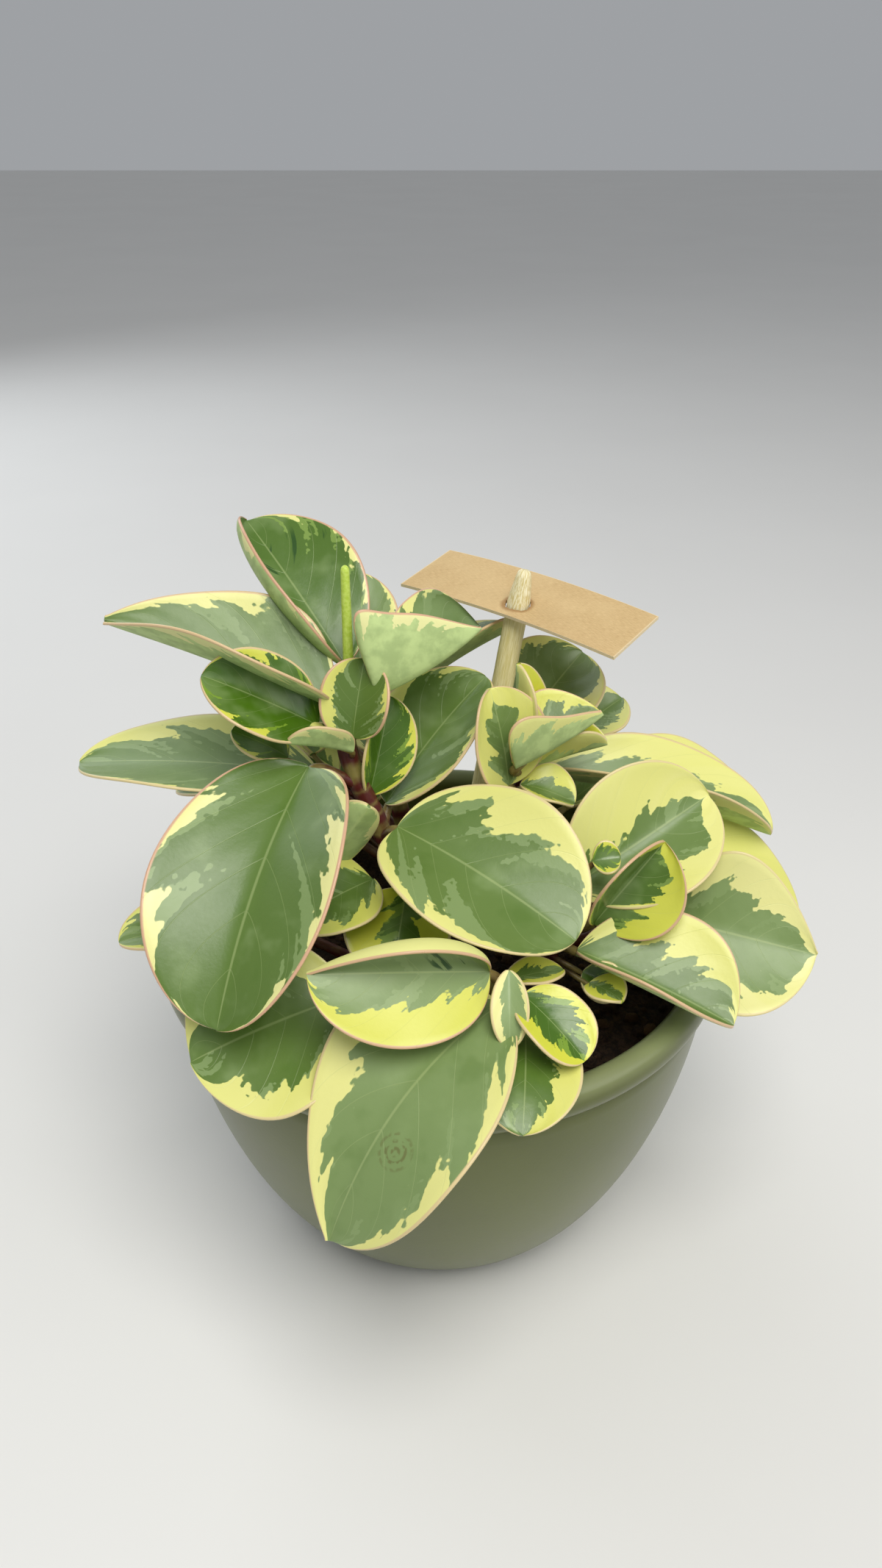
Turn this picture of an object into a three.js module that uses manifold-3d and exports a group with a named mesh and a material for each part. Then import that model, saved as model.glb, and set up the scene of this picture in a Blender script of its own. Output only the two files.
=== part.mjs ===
// Potted peperomia: a bushy house plant with thick variegated leaves in a smooth bowl-shaped pot,
// and a blank plant marker on a stick. Millimetres, +Z up, origin at the centre of the pot's base.
// Seen from the front the camera looks along +Y, so -Y is near, +Y is far and +X is to the right.

import * as THREE from 'three';
import { mergeVertices } from 'three/addons/utils/BufferGeometryUtils.js';
import Module from 'manifold-3d';

const wasm = await Module();
wasm.setup();

// Pot
const potHeight = 90;
const potSides = 44;
const baseRadius = 34;
const shoulderRadius = 67.4;
const wallThickness = 4.5;
const floorThickness = 6;
const wallSteps = 6;
const innerSteps = 3;
const wallRise = 1.6;
const wallBulge = 1.7;
const lipHeight = 9;
const lipRadius = 70;
const grooveDepth = 1.2;
// Inset from the lip's radius, and height above the shoulder.
const lipProfile = [[1.3, 1.5], [0.2, 3.4], [0, 5.6], [0.7, 7.8], [2.6, 9], [4.8, 8.6], [6.4, 6.6]];
const grooveHeight = 0.6;

// Soil
const soilTop = 76;
const soilDome = 2;
const soilRings = [0.85, 0.5, 0];
const gap = 0.4;
const plantingDepth = 12;
const soilSides = 22;
const holeSides = 6;
const holeRoom = 1.2;

// Stems, petioles and leaves
const stemRadius = 2.2;
const stemSides = 6;
const stemSteps = 6;
const petioleRadius = 1.25;
const petioleSides = 4;
const petioleSteps = 3;
const petioleSunk = 3;
const lowestPetiole = 6;
const petioleDrop = 3;
const petioleSlope = 0.35;
const petioleBends = [0.4, 0.3];
const stemSamples = 60;
const bladeThickness = 1.0;
const rimThickness = 0.7;
// A blade's steps along its length, from the narrowest blades up to each width.
const bladeSteps = [[20, 4], [31, 5], [Infinity, 6]];
const bladeHalfSteps = 2;
const smallestHalfWidth = 0.6;
const edgeWave = 0.02;
const edgeWaves = 1.4;
const wavePhaseStep = 0.37;

// Leaves on the far side
const fanReach = 17;
const fanStep = 9;
const fanLengths = [38, 46];
const fanWidthShare = 0.66;
const fanJitter = 4;
const fanRoll = 8;
const fanDroop = 2;
const fanArch = 0.07;
const fanFold = [14, 14];
const fanCup = 18;
const seedSpread = 7919;
const randomFactor = 16807;
const randomModulus = 2147483647;

// Plant marker
const stickRadius = 2.8;
const stickSides = 10;
const stickFoot = [5, 20];
const stickLean = [0.165, 0.105];
const stickTop = 168;
// Inset from the stick's radius, and distance below its top.
const stickHead = [[0, 8], [0.5, 4], [1.2, 0.6]];
const stickHoleLength = 200;
const cardSize = [62, 21, 0.8];
const cardHeight = 159;
const cardTurn = -37;
const cardTilt = 8;
const cardDip = 3;
const cardSag = 1.4;
const cardHoleAt = [1, -5];
const cardSteps = 8;

const up = new THREE.Vector3(0, 0, 1);
const degrees = THREE.MathUtils.degToRad;
const weldDistance = 1e-4;

// ---------- solids ----------

// A closed three.js geometry as a solid that can be joined and cut.
function solidOf(geometry) {
  const bare = geometry.clone();
  bare.deleteAttribute('normal');
  bare.deleteAttribute('uv');
  const merged = mergeVertices(bare, weldDistance);
  return new wasm.Manifold(new wasm.Mesh({
    numProp: 3,
    vertProperties: new Float32Array(merged.attributes.position.array),
    triVerts: new Uint32Array(merged.index.array),
  }));
}

function geometryOf(solid) {
  const mesh = solid.getMesh();
  const geometry = new THREE.BufferGeometry();
  geometry.setAttribute('position', new THREE.BufferAttribute(mesh.vertProperties, 3));
  geometry.setIndex(new THREE.BufferAttribute(mesh.triVerts, 1));
  geometry.computeVertexNormals();
  return geometry;
}

// A bar of a few sides along a curve, closed at both ends.
function barAlong(curve, radius, sides, steps) {
  const corners = Array.from({ length: sides }, (unused, corner) => {
    const angle = (2 * Math.PI * corner) / sides;
    return new THREE.Vector2(radius * Math.cos(angle), radius * Math.sin(angle));
  });
  const options = { steps, extrudePath: curve, bevelEnabled: false };
  return solidOf(new THREE.ExtrudeGeometry(new THREE.Shape(corners), options));
}

// A profile of [radius, height] points turned about +Z.
function turned(profile, sides) {
  const points = profile.map(([radius, height]) => new THREE.Vector2(radius, height));
  return new THREE.LatheGeometry(points, sides).rotateX(Math.PI / 2);
}

// ---------- pot and soil ----------

// The wall's radius at a share of its height: a flat base that turns up into a nearly upright wall.
function wallRadius(share) {
  const turn = (1 - (1 - share) ** wallRise) ** (1 / wallBulge);
  return baseRadius + (shoulderRadius - baseRadius) * turn;
}

// Shares of the wall's height, closer together near the base, short of the shoulder.
const sharesOf = (steps) => Array.from({ length: steps }, (unused, step) => (step / steps) ** 2);
const outerShares = sharesOf(wallSteps);
const innerShares = sharesOf(innerSteps);
const soilShare = (soilTop - floorThickness) / (potHeight - lipHeight - floorThickness);

// The inner wall's point at a share of its height, from the floor to the shoulder.
function innerWall(share) {
  const height = floorThickness + share * (potHeight - lipHeight - floorThickness);
  return [wallRadius(share) - wallThickness, height];
}

function potGeometry() {
  const shoulder = potHeight - lipHeight;
  const outer = [...outerShares, 1].map((share) => [wallRadius(share), share * shoulder]);
  const groove = [shoulderRadius - grooveDepth, shoulder + grooveHeight];
  const lip = lipProfile.map(([inset, rise]) => [lipRadius - inset, shoulder + rise]);
  const inner = [...innerShares, soilShare, 1].reverse().map(innerWall);
  return turned([[0, 0], ...outer, groove, ...lip, ...inner, [0, floorThickness]], potSides);
}

// Soil fills the pot to just below the lip, with a plain hole for each stem and the stick.
function soilGeometry(feet, stickBar) {
  const side = [...innerShares, soilShare].map(innerWall);
  const wall = side.map(([radius, height]) => [radius - gap, height + gap]);
  const [edgeRadius, edgeHeight] = wall[wall.length - 1];
  const top = soilRings.map((share) => {
    return [edgeRadius * share, edgeHeight + soilDome * (1 - share * share)];
  });
  let soil = solidOf(turned([[0, wall[0][1]], ...wall, ...top], soilSides));
  const holeRadius = stemRadius + holeRoom;
  const holeDepth = plantingDepth + gap;
  for (const [x, y] of feet) {
    const hole = new THREE.CylinderGeometry(holeRadius, holeRadius, 2 * holeDepth, holeSides);
    hole.rotateX(Math.PI / 2);
    hole.translate(x, y, soilTop);
    soil = soil.subtract(solidOf(hole));
  }
  return geometryOf(soil.subtract(stickBar));
}

// ---------- leaves ----------

// Two exponents shape a blade's outline: how fast it widens from its root and narrows to its tip.
const round = [0.5, 0.5];
const oval = [0.65, 0.6];
const tapering = [0.6, 0.95];
const blunt = [0.2, 0.95];
const late = [1, 0.4];

// A leaf's root and tip are real places. Roll turns it about its midrib, left side up. Arch lifts its
// middle, as a share of its length. Fold bends its left and right halves up, in degrees, and cup adds
// to the fold towards the rim, as one angle or one for each half. The right half has the left half's
// outline unless it is given its own.
function leaf(root, tip, width, roll, arch, fold, cup, leftOutline, rightOutline = leftOutline) {
  return { root, tip, width, roll, arch, fold, cup, leftOutline, rightOutline };
}

function halfWidthShare(outline, share) {
  const [widen, narrow] = outline;
  const widest = widen / (widen + narrow);
  const most = widest ** widen * (1 - widest) ** narrow;
  return (share ** widen * (1 - share) ** narrow) / most;
}

// The leaf's own axes: along its midrib, to its left, and out of its upper face.
function leafAxes(one) {
  const root = new THREE.Vector3(...one.root);
  const along = new THREE.Vector3(...one.tip).sub(root);
  const length = along.length();
  along.normalize();
  const left = new THREE.Vector3().crossVectors(up, along).normalize();
  left.applyAxisAngle(along, degrees(one.roll));
  const face = new THREE.Vector3().crossVectors(along, left);
  return { root, along, left, face, length };
}

// A place on the midrib, with the directions to its left and out of its upper face.
function midrib(one, axes, share) {
  const lift = 4 * share * (1 - share) * one.arch * axes.length;
  const point = axes.root.clone().addScaledVector(axes.along, axes.length * share);
  point.addScaledVector(axes.face, lift);
  const slope = 4 * one.arch * (1 - 2 * share);
  const tangent = axes.along.clone().addScaledVector(axes.face, slope).normalize();
  const face = new THREE.Vector3().crossVectors(tangent, axes.left).normalize();
  return { point, left: axes.left, face };
}

// A place on one half of the blade's section: how far out, how far up, and its face's direction.
function sectionAt(one, halfWidth, side, share) {
  const fold = degrees(one.fold[side > 0 ? 0 : 1]);
  const cup = degrees([one.cup].flat().at(side > 0 ? 0 : -1));
  const turned = fold + cup * share;
  const out = (halfWidth * (Math.sin(turned) - Math.sin(fold))) / cup;
  const rise = (halfWidth * (Math.cos(fold) - Math.cos(turned))) / cup;
  return { out: side * out, rise, faceOut: -side * Math.sin(turned), faceUp: Math.cos(turned) };
}

// One section of the blade: the points of its upper face from right to left, then of its lower face back.
function bladeSection(one, axes, share, phase) {
  const halfWidthOf = (outline) => {
    return Math.max(0.5 * one.width * halfWidthShare(outline, share), smallestHalfWidth);
  };
  const rib = midrib(one, axes, share);
  const wave = edgeWave * one.width * Math.sin(2 * Math.PI * (edgeWaves * share + phase));
  const upper = [];
  const lower = [];
  for (let step = -bladeHalfSteps; step <= bladeHalfSteps; step += 1) {
    const across = step / bladeHalfSteps;
    const distance = Math.abs(across);
    const side = across < 0 ? -1 : 1;
    const halfWidth = halfWidthOf(side > 0 ? one.leftOutline : one.rightOutline);
    let section = sectionAt(one, halfWidth, side, distance);
    let thickness = THREE.MathUtils.lerp(bladeThickness, rimThickness, distance);
    if (step === 0) {
      const other = sectionAt(one, halfWidth, -1, 0);
      const middle = new THREE.Vector2(section.faceOut + other.faceOut, section.faceUp + other.faceUp);
      middle.normalize();
      thickness /= middle.x * section.faceOut + middle.y * section.faceUp;
      section = { out: 0, rise: 0, faceOut: middle.x, faceUp: middle.y };
    }
    const centre = rib.point.clone().addScaledVector(rib.left, section.out);
    centre.addScaledVector(rib.face, section.rise + wave * across * across * Math.sign(across));
    const face = rib.left.clone().multiplyScalar(section.faceOut);
    face.addScaledVector(rib.face, section.faceUp);
    upper.push(centre.clone().addScaledVector(face, thickness / 2));
    lower.unshift(centre.clone().addScaledVector(face, -thickness / 2));
  }
  return upper.concat(lower);
}

// The blade as one closed solid: rings of points joined along the leaf, both faces split alike.
function bladeSolid(one, phase) {
  const axes = leafAxes(one);
  const [, steps] = bladeSteps.find(([widest]) => one.width < widest);
  const rings = [];
  for (let step = 0; step <= steps; step += 1) {
    const share = (1 - Math.cos((Math.PI * step) / steps)) / 2;
    rings.push(bladeSection(one, axes, share, phase));
  }
  const size = rings[0].length;
  const across = size / 2;
  const positions = rings.flat().flatMap((point) => point.toArray());
  const faces = [];
  const quad = (a, b, c, d, mirrored) => {
    faces.push(...(mirrored ? [a, d, b, b, d, c] : [a, c, b, a, d, c]));
  };
  for (let step = 0; step < steps; step += 1) {
    for (let k = 0; k < size; k += 1) {
      const next = (k + 1) % size;
      const here = step * size;
      const there = here + size;
      quad(here + k, here + next, there + next, there + k, k >= across);
    }
  }
  const last = steps * size;
  for (let k = 0; k < across - 1; k += 1) {
    const opposite = size - 1 - k;
    quad(opposite, opposite - 1, k + 1, k, false);
    quad(last + k, last + k + 1, last + opposite - 1, last + opposite, false);
  }
  const geometry = new THREE.BufferGeometry();
  geometry.setAttribute('position', new THREE.Float32BufferAttribute(positions, 3));
  geometry.setIndex(faces);
  return solidOf(geometry);
}

// The leaf's stalk leaves the stem below the leaf and runs on under the midrib, sunk into the blade.
function petioleSolid(one, stemCurve) {
  const axes = leafAxes(one);
  const reachOf = (point) => Math.hypot(point.x - axes.root.x, point.y - axes.root.y);
  const wanted = (point) => {
    return Math.abs(axes.root.z - petioleDrop - petioleSlope * reachOf(point) - point.z);
  };
  const points = stemCurve.getPoints(stemSamples).filter((point) => point.z > soilTop + lowestPetiole);
  const start = points.reduce((best, point) => (wanted(point) < wanted(best) ? point : best));
  const end = axes.root.clone().addScaledVector(axes.along, petioleSunk);
  end.addScaledVector(axes.face, one.arch * petioleSunk * 4);
  const span = start.distanceTo(axes.root);
  const away = axes.root.clone().sub(start).setZ(petioleSlope * span).normalize();
  const first = start.clone().addScaledVector(away, span * petioleBends[0]);
  const second = axes.root.clone().addScaledVector(axes.along, -span * petioleBends[1]);
  const curve = new THREE.CubicBezierCurve3(start, first, second, end);
  return barAlong(curve, petioleRadius, petioleSides, petioleSteps);
}

// ---------- leafy stems ----------

// Each stem is a foot in the soil, the places it grows through, and its leaves.
const stems = {
  left: {
    foot: [-8, -2],
    path: [[-9, -2, 94], [-15, -3, 117], [-21, -2, 133], [-23, 3, 149]],
    leaves: [
      leaf([-22, 8, 153], [-47, 38, 177], 33, -15, 0.03, [0, 8], [118, 15], oval),
      leaf([-25, 0, 147], [-76, 8, 164], 36, 0, 0.02, [36, 45], 12, tapering),
      leaf([-15, 0, 150], [9, 7, 163], 42, 0, -0.05, [16, 80], [15, 30], late, blunt),
      leaf([-20, -3, 140], [-17, 3, 157], 19, 10, 0.04, [30, 15], 25, round),
      leaf([-28, -3, 143], [-52, -8, 158], 22, -40, 0.03, [12, 12], 18, oval),
      leaf([-30, -8, 135], [-46, -57, 101], 45, 5, 0.08, [12, 16], 18, round),
      leaf([-29, 2, 127], [-86, 4, 129], 35, 0, 0.03, [5, 5], 15, oval),
      leaf([-36, 0, 133], [-48, -2, 141], 13, -30, 0.05, [15, 15], 15, oval),
      leaf([-30, 2, 133], [-34, 12, 136], 12, 20, 0.05, [15, 15], 15, oval),
      leaf([-17, -2, 124], [-12, 8, 145], 17, 40, 0.03, [50, 10], 15, oval),
      leaf([-13, 2, 119], [11, 18, 145], 31, 10, 0.05, [15, 15], 18, oval),
      leaf([-20, -6, 139], [-34, -12, 144], 13, 0, 0.03, [55, 10], 15, oval),
      leaf([-10, -10, 120], [29, -38, 109], 43, 17, 0.05, [14, 14], 18, round),
    ],
    spike: { root: [-21, 4, 148], tip: [-21, 6, 178], radius: 1.3 },
  },
  back_left: {
    foot: [-10, 24],
    path: [[-10, 24, 96], [-13, 24, 118], [-17, 23, 142]],
    leaves: [
      leaf([-20, 22, 145], [-21, 38, 164], 19, 15, 0.04, [12, 12], 18, oval),
      leaf([-12, 28, 133], [20, 41, 149], 30, -25, 0.04, [12, 12], 18, oval),
    ],
    fans: [
      { headings: [96, 165], leaves: 6, low: 95, seed: 11 },
      { headings: [100, 130], leaves: 2, low: 112, seed: 3 },
    ],
  },
  right: {
    foot: [12, 4],
    path: [[13, 5, 96], [18, 7, 114], [20, 8, 125]],
    leaves: [
      leaf([16, 3, 124], [11, 4, 149], 22, -50, 0.05, [20, 5], 25, round),
      leaf([17, 0, 131], [38, 7, 141], 26, 0, -0.03, [38, 75], 12, oval, blunt),
      leaf([19, 4, 123], [32, 2, 119], 15, 10, 0.06, [20, 20], 18, oval),
      leaf([19, 10, 124], [18, 11, 152], 16, 0, 0.02, [70, 10], 15, oval),
      leaf([22, 9, 126], [40, 9, 132], 17, 0, 0.03, [45, 55], 15, oval),
      leaf([26, 19, 118], [85, 15, 102], 31, 8, 0.04, [30, 48], 12, oval),
    ],
  },
  back_right: {
    foot: [16, 28],
    path: [[18, 28, 96], [21, 28, 115], [22, 27, 124]],
    leaves: [
      leaf([20, 28, 124], [37, 43, 140], 31, 20, 0.04, [14, 14], 18, oval),
      leaf([36, 34, 121], [48, 40, 128], 19, 20, 0.04, [14, 14], 18, oval),
      leaf([47, 42, 111], [84, 36, 98], 22, 5, 0.05, [10, 14], 18, oval),
    ],
    fans: [{ headings: [44, 92], leaves: 4, low: 95, seed: 5 }],
  },
  front_right: {
    foot: [26, -12],
    path: [[27, -14, 90], [30, -20, 103], [32, -21, 115]],
    leaves: [
      leaf([30, -17, 108], [63, -2, 124], 36, 45, 0.05, [15, 25], 18, oval),
      leaf([35, -24, 103], [50, -20, 123], 28, 50, 0.03, [74, 0], [12, 30], oval),
      leaf([53, -18, 100], [86, -28, 97], 38, 48, 0.02, [10, 10], 18, tapering, oval),
      leaf([31, -29, 99], [64, -45, 91], 36, 20, 0.04, [15, 56], 12, oval),
      leaf([33, -38, 97], [39, -46, 99], 9, 10, 0.05, [15, 15], 15, oval),
      leaf([34, -22, 119], [40, -22, 120], 8, 40, 0.05, [15, 15], 15, oval),
      leaf([32, -33, 96], [40, -37, 93], 10, 30, 0.05, [15, 15], 15, oval),
      leaf([48, 7, 103], [91, 0, 85], 31, 0, 0.12, [10, 12], 18, oval),
    ],
  },
  front: {
    foot: [8, -29],
    path: [[9, -32, 89], [12, -42, 99], [14, -45, 103]],
    leaves: [
      leaf([10, -48, 109], [-27, -56, 115], 31, -45, 0.03, [6, 0], [15, 150], round, tapering),
      leaf([13, -50, 102], [-22, -84, 70], 42, 2, 0.15, [-8, 12], 18, oval, tapering),
      leaf([14, -50, 111], [14, -61, 100], 8, 0, 0.05, [15, 15], 15, oval),
      leaf([17, -51, 105], [29, -63, 98], 16, 5, 0.06, [12, 12], 18, round),
      leaf([14, -42, 101], [27, -37, 100], 9, 0, 0.03, [10, 10], 15, oval),
      leaf([18, -49, 95], [16, -76, 91], 23, -5, 0.1, [0, 0], 18, oval),
    ],
  },
  front_left: {
    foot: [-16, -14],
    path: [[-17, -15, 86], [-18, -18, 97], [-18, -17, 107]],
    leaves: [
      leaf([-8, -12, 104], [-11, -32, 92], 26, 0, 0.05, [12, 12], 18, oval),
      leaf([-16, -14, 108], [-34, -30, 107], 24, -20, 0.05, [12, 12], 18, oval),
      leaf([-20, -42, 97], [-53, -55, 90], 42, -25, 0.06, [0, 4], 15, oval),
      leaf([-48, -8, 90], [-76, -20, 94], 20, -10, 0.06, [12, 12], 18, oval),
      leaf([-28, -14, 110], [-16, -18, 131], 13, -70, 0.04, [15, 15], 18, oval),
    ],
  },
};

function seededRandom(seed) {
  let state = seed * seedSpread;
  return () => {
    state = (state * randomFactor) % randomModulus;
    return state / randomModulus;
  };
}

// Leaves on the far side, by a rule: they fan out from the stem, low and high by turns, over the lip.
function fanLeaves({ headings, leaves, low, seed }, top) {
  const random = seededRandom(seed);
  const jitter = (size) => size * (2 * random() - 1);
  const made = [];
  for (let k = 0; k < leaves; k += 1) {
    const spread = THREE.MathUtils.lerp(headings[0], headings[1], k / (leaves - 1));
    const heading = degrees(spread + jitter(fanJitter));
    const length = THREE.MathUtils.lerp(fanLengths[0], fanLengths[1], random());
    const height = low + fanStep * (k % 2);
    const out = [Math.cos(heading), Math.sin(heading)];
    const root = [top[0] + fanReach * out[0], top[1] + fanReach * out[1], height];
    const tip = [root[0] + length * out[0], root[1] + length * out[1], height + jitter(fanDroop)];
    const width = fanWidthShare * length;
    made.push(leaf(root, tip, width, jitter(fanRoll), fanArch, fanFold, fanCup, oval));
  }
  return made;
}

function stemCurveOf(stem) {
  const [x, y] = stem.foot;
  const places = [[x, y, soilTop - plantingDepth], [x, y, soilTop], ...stem.path];
  const points = places.map((place) => new THREE.Vector3(...place));
  return new THREE.CatmullRomCurve3(points, false, 'centripetal');
}

function leavesOf(stem) {
  const top = stem.path[stem.path.length - 1];
  return stem.leaves.concat((stem.fans ?? []).flatMap((fan) => fanLeaves(fan, top)));
}

function leafyStemGeometry(stem) {
  const curve = stemCurveOf(stem);
  let solid = barAlong(curve, stemRadius, stemSides, stemSteps);
  leavesOf(stem).forEach((one, index) => {
    solid = solid.add(petioleSolid(one, curve)).add(bladeSolid(one, index * wavePhaseStep));
  });
  if (stem.spike) {
    const ends = [stem.spike.root, stem.spike.tip].map((place) => new THREE.Vector3(...place));
    const line = new THREE.LineCurve3(...ends);
    solid = solid.add(barAlong(line, stem.spike.radius, stemSides, 1));
  }
  return geometryOf(solid);
}

// ---------- plant marker ----------

const stickDirection = new THREE.Vector3(...stickLean, 1).normalize();
const stickBase = new THREE.Vector3(...stickFoot, soilTop).addScaledVector(stickDirection, -plantingDepth);

function alongStick(geometry) {
  geometry.applyQuaternion(new THREE.Quaternion().setFromUnitVectors(up, stickDirection));
  geometry.translate(...stickBase.toArray());
  return geometry;
}

// A round stick that tapers to a blunt head.
function stickGeometry() {
  const length = (stickTop - stickBase.z) / stickDirection.z;
  const profile = [
    [0, 0],
    [stickRadius, 0],
    ...stickHead.map(([inset, below]) => [stickRadius - inset, length - below]),
    [0, length],
  ];
  return alongStick(turned(profile, stickSides));
}

// A bar a little wider than the stick, which cuts its hole in the soil and in the card.
function stickHole(depthBelow) {
  const radius = stickRadius + gap;
  const hole = new THREE.CylinderGeometry(radius, radius, stickHoleLength, stickSides);
  hole.rotateX(Math.PI / 2);
  hole.translate(0, 0, stickHoleLength / 2 - depthBelow);
  return solidOf(alongStick(hole));
}

// The card is pushed down over the stick near its front edge. It sags a little towards both ends.
function cardGeometry() {
  const [width, depth, thickness] = cardSize;
  const card = new THREE.BoxGeometry(width, depth, thickness, cardSteps, 1, 1);
  const points = card.attributes.position;
  for (let k = 0; k < points.count; k += 1) {
    const share = points.getX(k) / (width / 2);
    points.setZ(k, points.getZ(k) - cardSag * share * share);
  }
  card.translate(-cardHoleAt[0], -cardHoleAt[1], 0);
  card.rotateY(degrees(cardDip));
  card.rotateX(degrees(cardTilt));
  card.rotateZ(degrees(cardTurn));
  const rise = (cardHeight - stickBase.z) / stickDirection.z;
  card.translate(...stickBase.clone().addScaledVector(stickDirection, rise).toArray());
  return geometryOf(solidOf(card).subtract(stickHole(0)));
}

// ---------- the object ----------

const materials = {
  glaze: { color: '#7f8465', roughness: 0.32, metalness: 0 },
  soil: { color: '#2e241b', roughness: 0.95, metalness: 0 },
  foliage: { color: '#7f9a62', roughness: 0.38, metalness: 0 },
  bamboo: { color: '#c9b48a', roughness: 0.7, metalness: 0 },
  kraft: { color: '#b08a62', roughness: 0.85, metalness: 0 },
};

const plant = new THREE.Group();

function place(name, geometry, finish) {
  const mesh = new THREE.Mesh(geometry, new THREE.MeshStandardMaterial(materials[finish]));
  mesh.name = name;
  plant.add(mesh);
}

place('pot', potGeometry(), 'glaze');
place('soil', soilGeometry(Object.values(stems).map((stem) => stem.foot), stickHole(gap)), 'soil');
for (const [where, stem] of Object.entries(stems)) {
  place(`leafy_stem_${where}`, leafyStemGeometry(stem), 'foliage');
}
place('marker_stick', stickGeometry(), 'bamboo');
place('marker_card', cardGeometry(), 'kraft');

export default plant;
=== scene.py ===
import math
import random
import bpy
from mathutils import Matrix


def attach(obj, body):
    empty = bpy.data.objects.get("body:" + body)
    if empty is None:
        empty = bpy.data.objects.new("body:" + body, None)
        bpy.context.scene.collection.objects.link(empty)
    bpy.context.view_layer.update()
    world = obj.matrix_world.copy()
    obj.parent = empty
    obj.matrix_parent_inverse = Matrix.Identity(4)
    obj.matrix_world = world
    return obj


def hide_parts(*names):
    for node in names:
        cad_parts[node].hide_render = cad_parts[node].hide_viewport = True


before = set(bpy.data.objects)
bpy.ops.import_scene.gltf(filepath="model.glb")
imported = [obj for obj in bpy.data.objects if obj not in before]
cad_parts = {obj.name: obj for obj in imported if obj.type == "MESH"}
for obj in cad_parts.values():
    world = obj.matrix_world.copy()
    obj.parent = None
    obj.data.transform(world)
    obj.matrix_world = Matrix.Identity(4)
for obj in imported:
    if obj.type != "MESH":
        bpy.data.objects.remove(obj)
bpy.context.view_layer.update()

# Potted peperomia with thick variegated leaves, and a blank plant marker on a stick.
# The tables are in millimetres and meshes are made in metres. The camera looks along +Y, so -Y is
# near, +Y is far and +X is to the right.

from types import SimpleNamespace

import bpy
import numpy as np
from mathutils import Matrix, Vector, noise

MM = 0.001
UP = np.array([0.0, 0.0, 1.0])
# A direction that no tube starts along.
ASKEW = (0.31, 0.87, 0.39)
# Millimetres to a unit of V along a tube, and to a unit of UV on turned pieces and the card.
TUBE_UV_LENGTH = 10.0
UV_LENGTH = 100
# Left between pieces that stand in one another.
GAP = 0.4

# Pot
POT_HEIGHT = 90
BASE_RADIUS = 34
SHOULDER_RADIUS = 67.4
WALL_THICKNESS = 4.5
FLOOR_THICKNESS = 6
WALL_RISE = 1.6
WALL_BULGE = 1.7
LIP_HEIGHT = 9
LIP_RADIUS = 70
GROOVE_DEPTH = 0.5
GROOVE_HEIGHT = 0.7
# Inset from the lip's radius, and height above the shoulder.
LIP_PROFILE = [(1.3, 1.5), (0.2, 3.4), (0, 5.6), (0.7, 7.8), (2.6, 9), (4.8, 8.6), (6.4, 6.6)]
POT_SIDES = 144
WALL_STEPS = 40
LIP_STEPS = 48
# The glaze thins out over these heights, in metres, and a highlight is painted on the lip there.
THIN_GLAZE_AND_HIGHLIGHT = (0.0865, 0.0895)

# Soil
SOIL_TOP = 76
SOIL_DOME = 2
SOIL_SIDES = 120
SOIL_RINGS = 40
SOIL_WALL_STEPS = 12
SOIL_ROUGHNESS = 1.1
SOIL_WAVES = 0.16
# Fall-off, lacunarity and octaves of the soil's relief.
SOIL_FRACTAL = (0.8, 2.1, 4)
TINY = 0.01
CLODS = 520
CLOD_SEED = 7
CLOD_RADII = (0.7, 2.6)
CLOD_SIDES = 7
CLOD_RINGS = 4
CLOD_MARGIN = 3
CLOD_WAVES = 1.3
CLOD_BULGE = 0.35
CLOD_FLATNESS = 0.75
CLOD_SQUASH = 0.6
CLOD_LIFT = 0.25
CLOD_SHIFT = 50
CLOD_SHADE = 0.9
FEW_LARGE = 2.5
FEW_PALE = 3

# Stems, petioles and leaves
PLANTING_DEPTH = 12
STEM_RADIUS = 2.2
STEM_SAMPLES = 60
STEM_SIDES = 14
PETIOLE_RADIUS = 1.25
PETIOLE_STEPS = 18
PETIOLE_SUNK = 3
LOWEST_PETIOLE = 6
PETIOLE_DROP = 3
PETIOLE_SLOPE = 0.35
PETIOLE_BENDS = (0.4, 0.3)
PETIOLE_SIDES = 12
# Shares of the petiole's radius, or of its length for the foot's reach.
PETIOLE_SLIM = 0.55
PETIOLE_START = 1.15
PETIOLE_TAPER = 0.3
PETIOLE_FOOT = 0.35
PETIOLE_FOOT_REACH = 0.1
PETIOLE_END = (0.95, 0.8, 0.6, 0.3)
# How green a petiole is at its foot, and what is added up to the leaf.
PETIOLE_GREEN = (0.1, 0.75)
NODE_REACH = 2.5
NODE_SWELL = 0.16
STEM_SLIM = 0.94
STEM_TAPER = 0.35
STEM_TAPER_FROM = 0.85
STEM_GREEN = 0.8
NODE_MAROON = 0.75
MAROON_REACH = 1.4
SPIKE_STEPS = 40
SPIKE_SIDES = 16
SPIKE_TAPER = 0.25
SPIKE_LEAST_END = 0.004
BLADE_THICKNESS = 1.0
RIM_THICKNESS = 0.7
EDGE_WAVE = 0.02
EDGE_WAVES = 1.4
WAVE_PHASE_STEP = 0.37
BLADE_STEPS = 46
BLADE_HALF_STEPS = 12
SMALL_WIDTH = 20
SMALL_BLADE_STEPS = 28
SMALL_BLADE_HALF_STEPS = 8
LEAST_HALF_WIDTH = 0.45
TOWARDS_MIDRIB = 1.4
ARC_STEPS = 400
CREASE = 0.14
KEEL = 0.55
KEEL_REACH = 0.9
GROOVED_HALF = 6
VEIN_COUNT = 5
VEIN_SWEEP = 0.45
VEIN_BEND = 1.15
VEIN_DEPTH = 0.1
SCAR_AT = (0.26, 0.63)
SCAR_LEAF = (19, 58)
SCAR_RADII = (2.6, 4.8)
SCAR_RING = 0.7
SCAR_SHARE = 0.6

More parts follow.
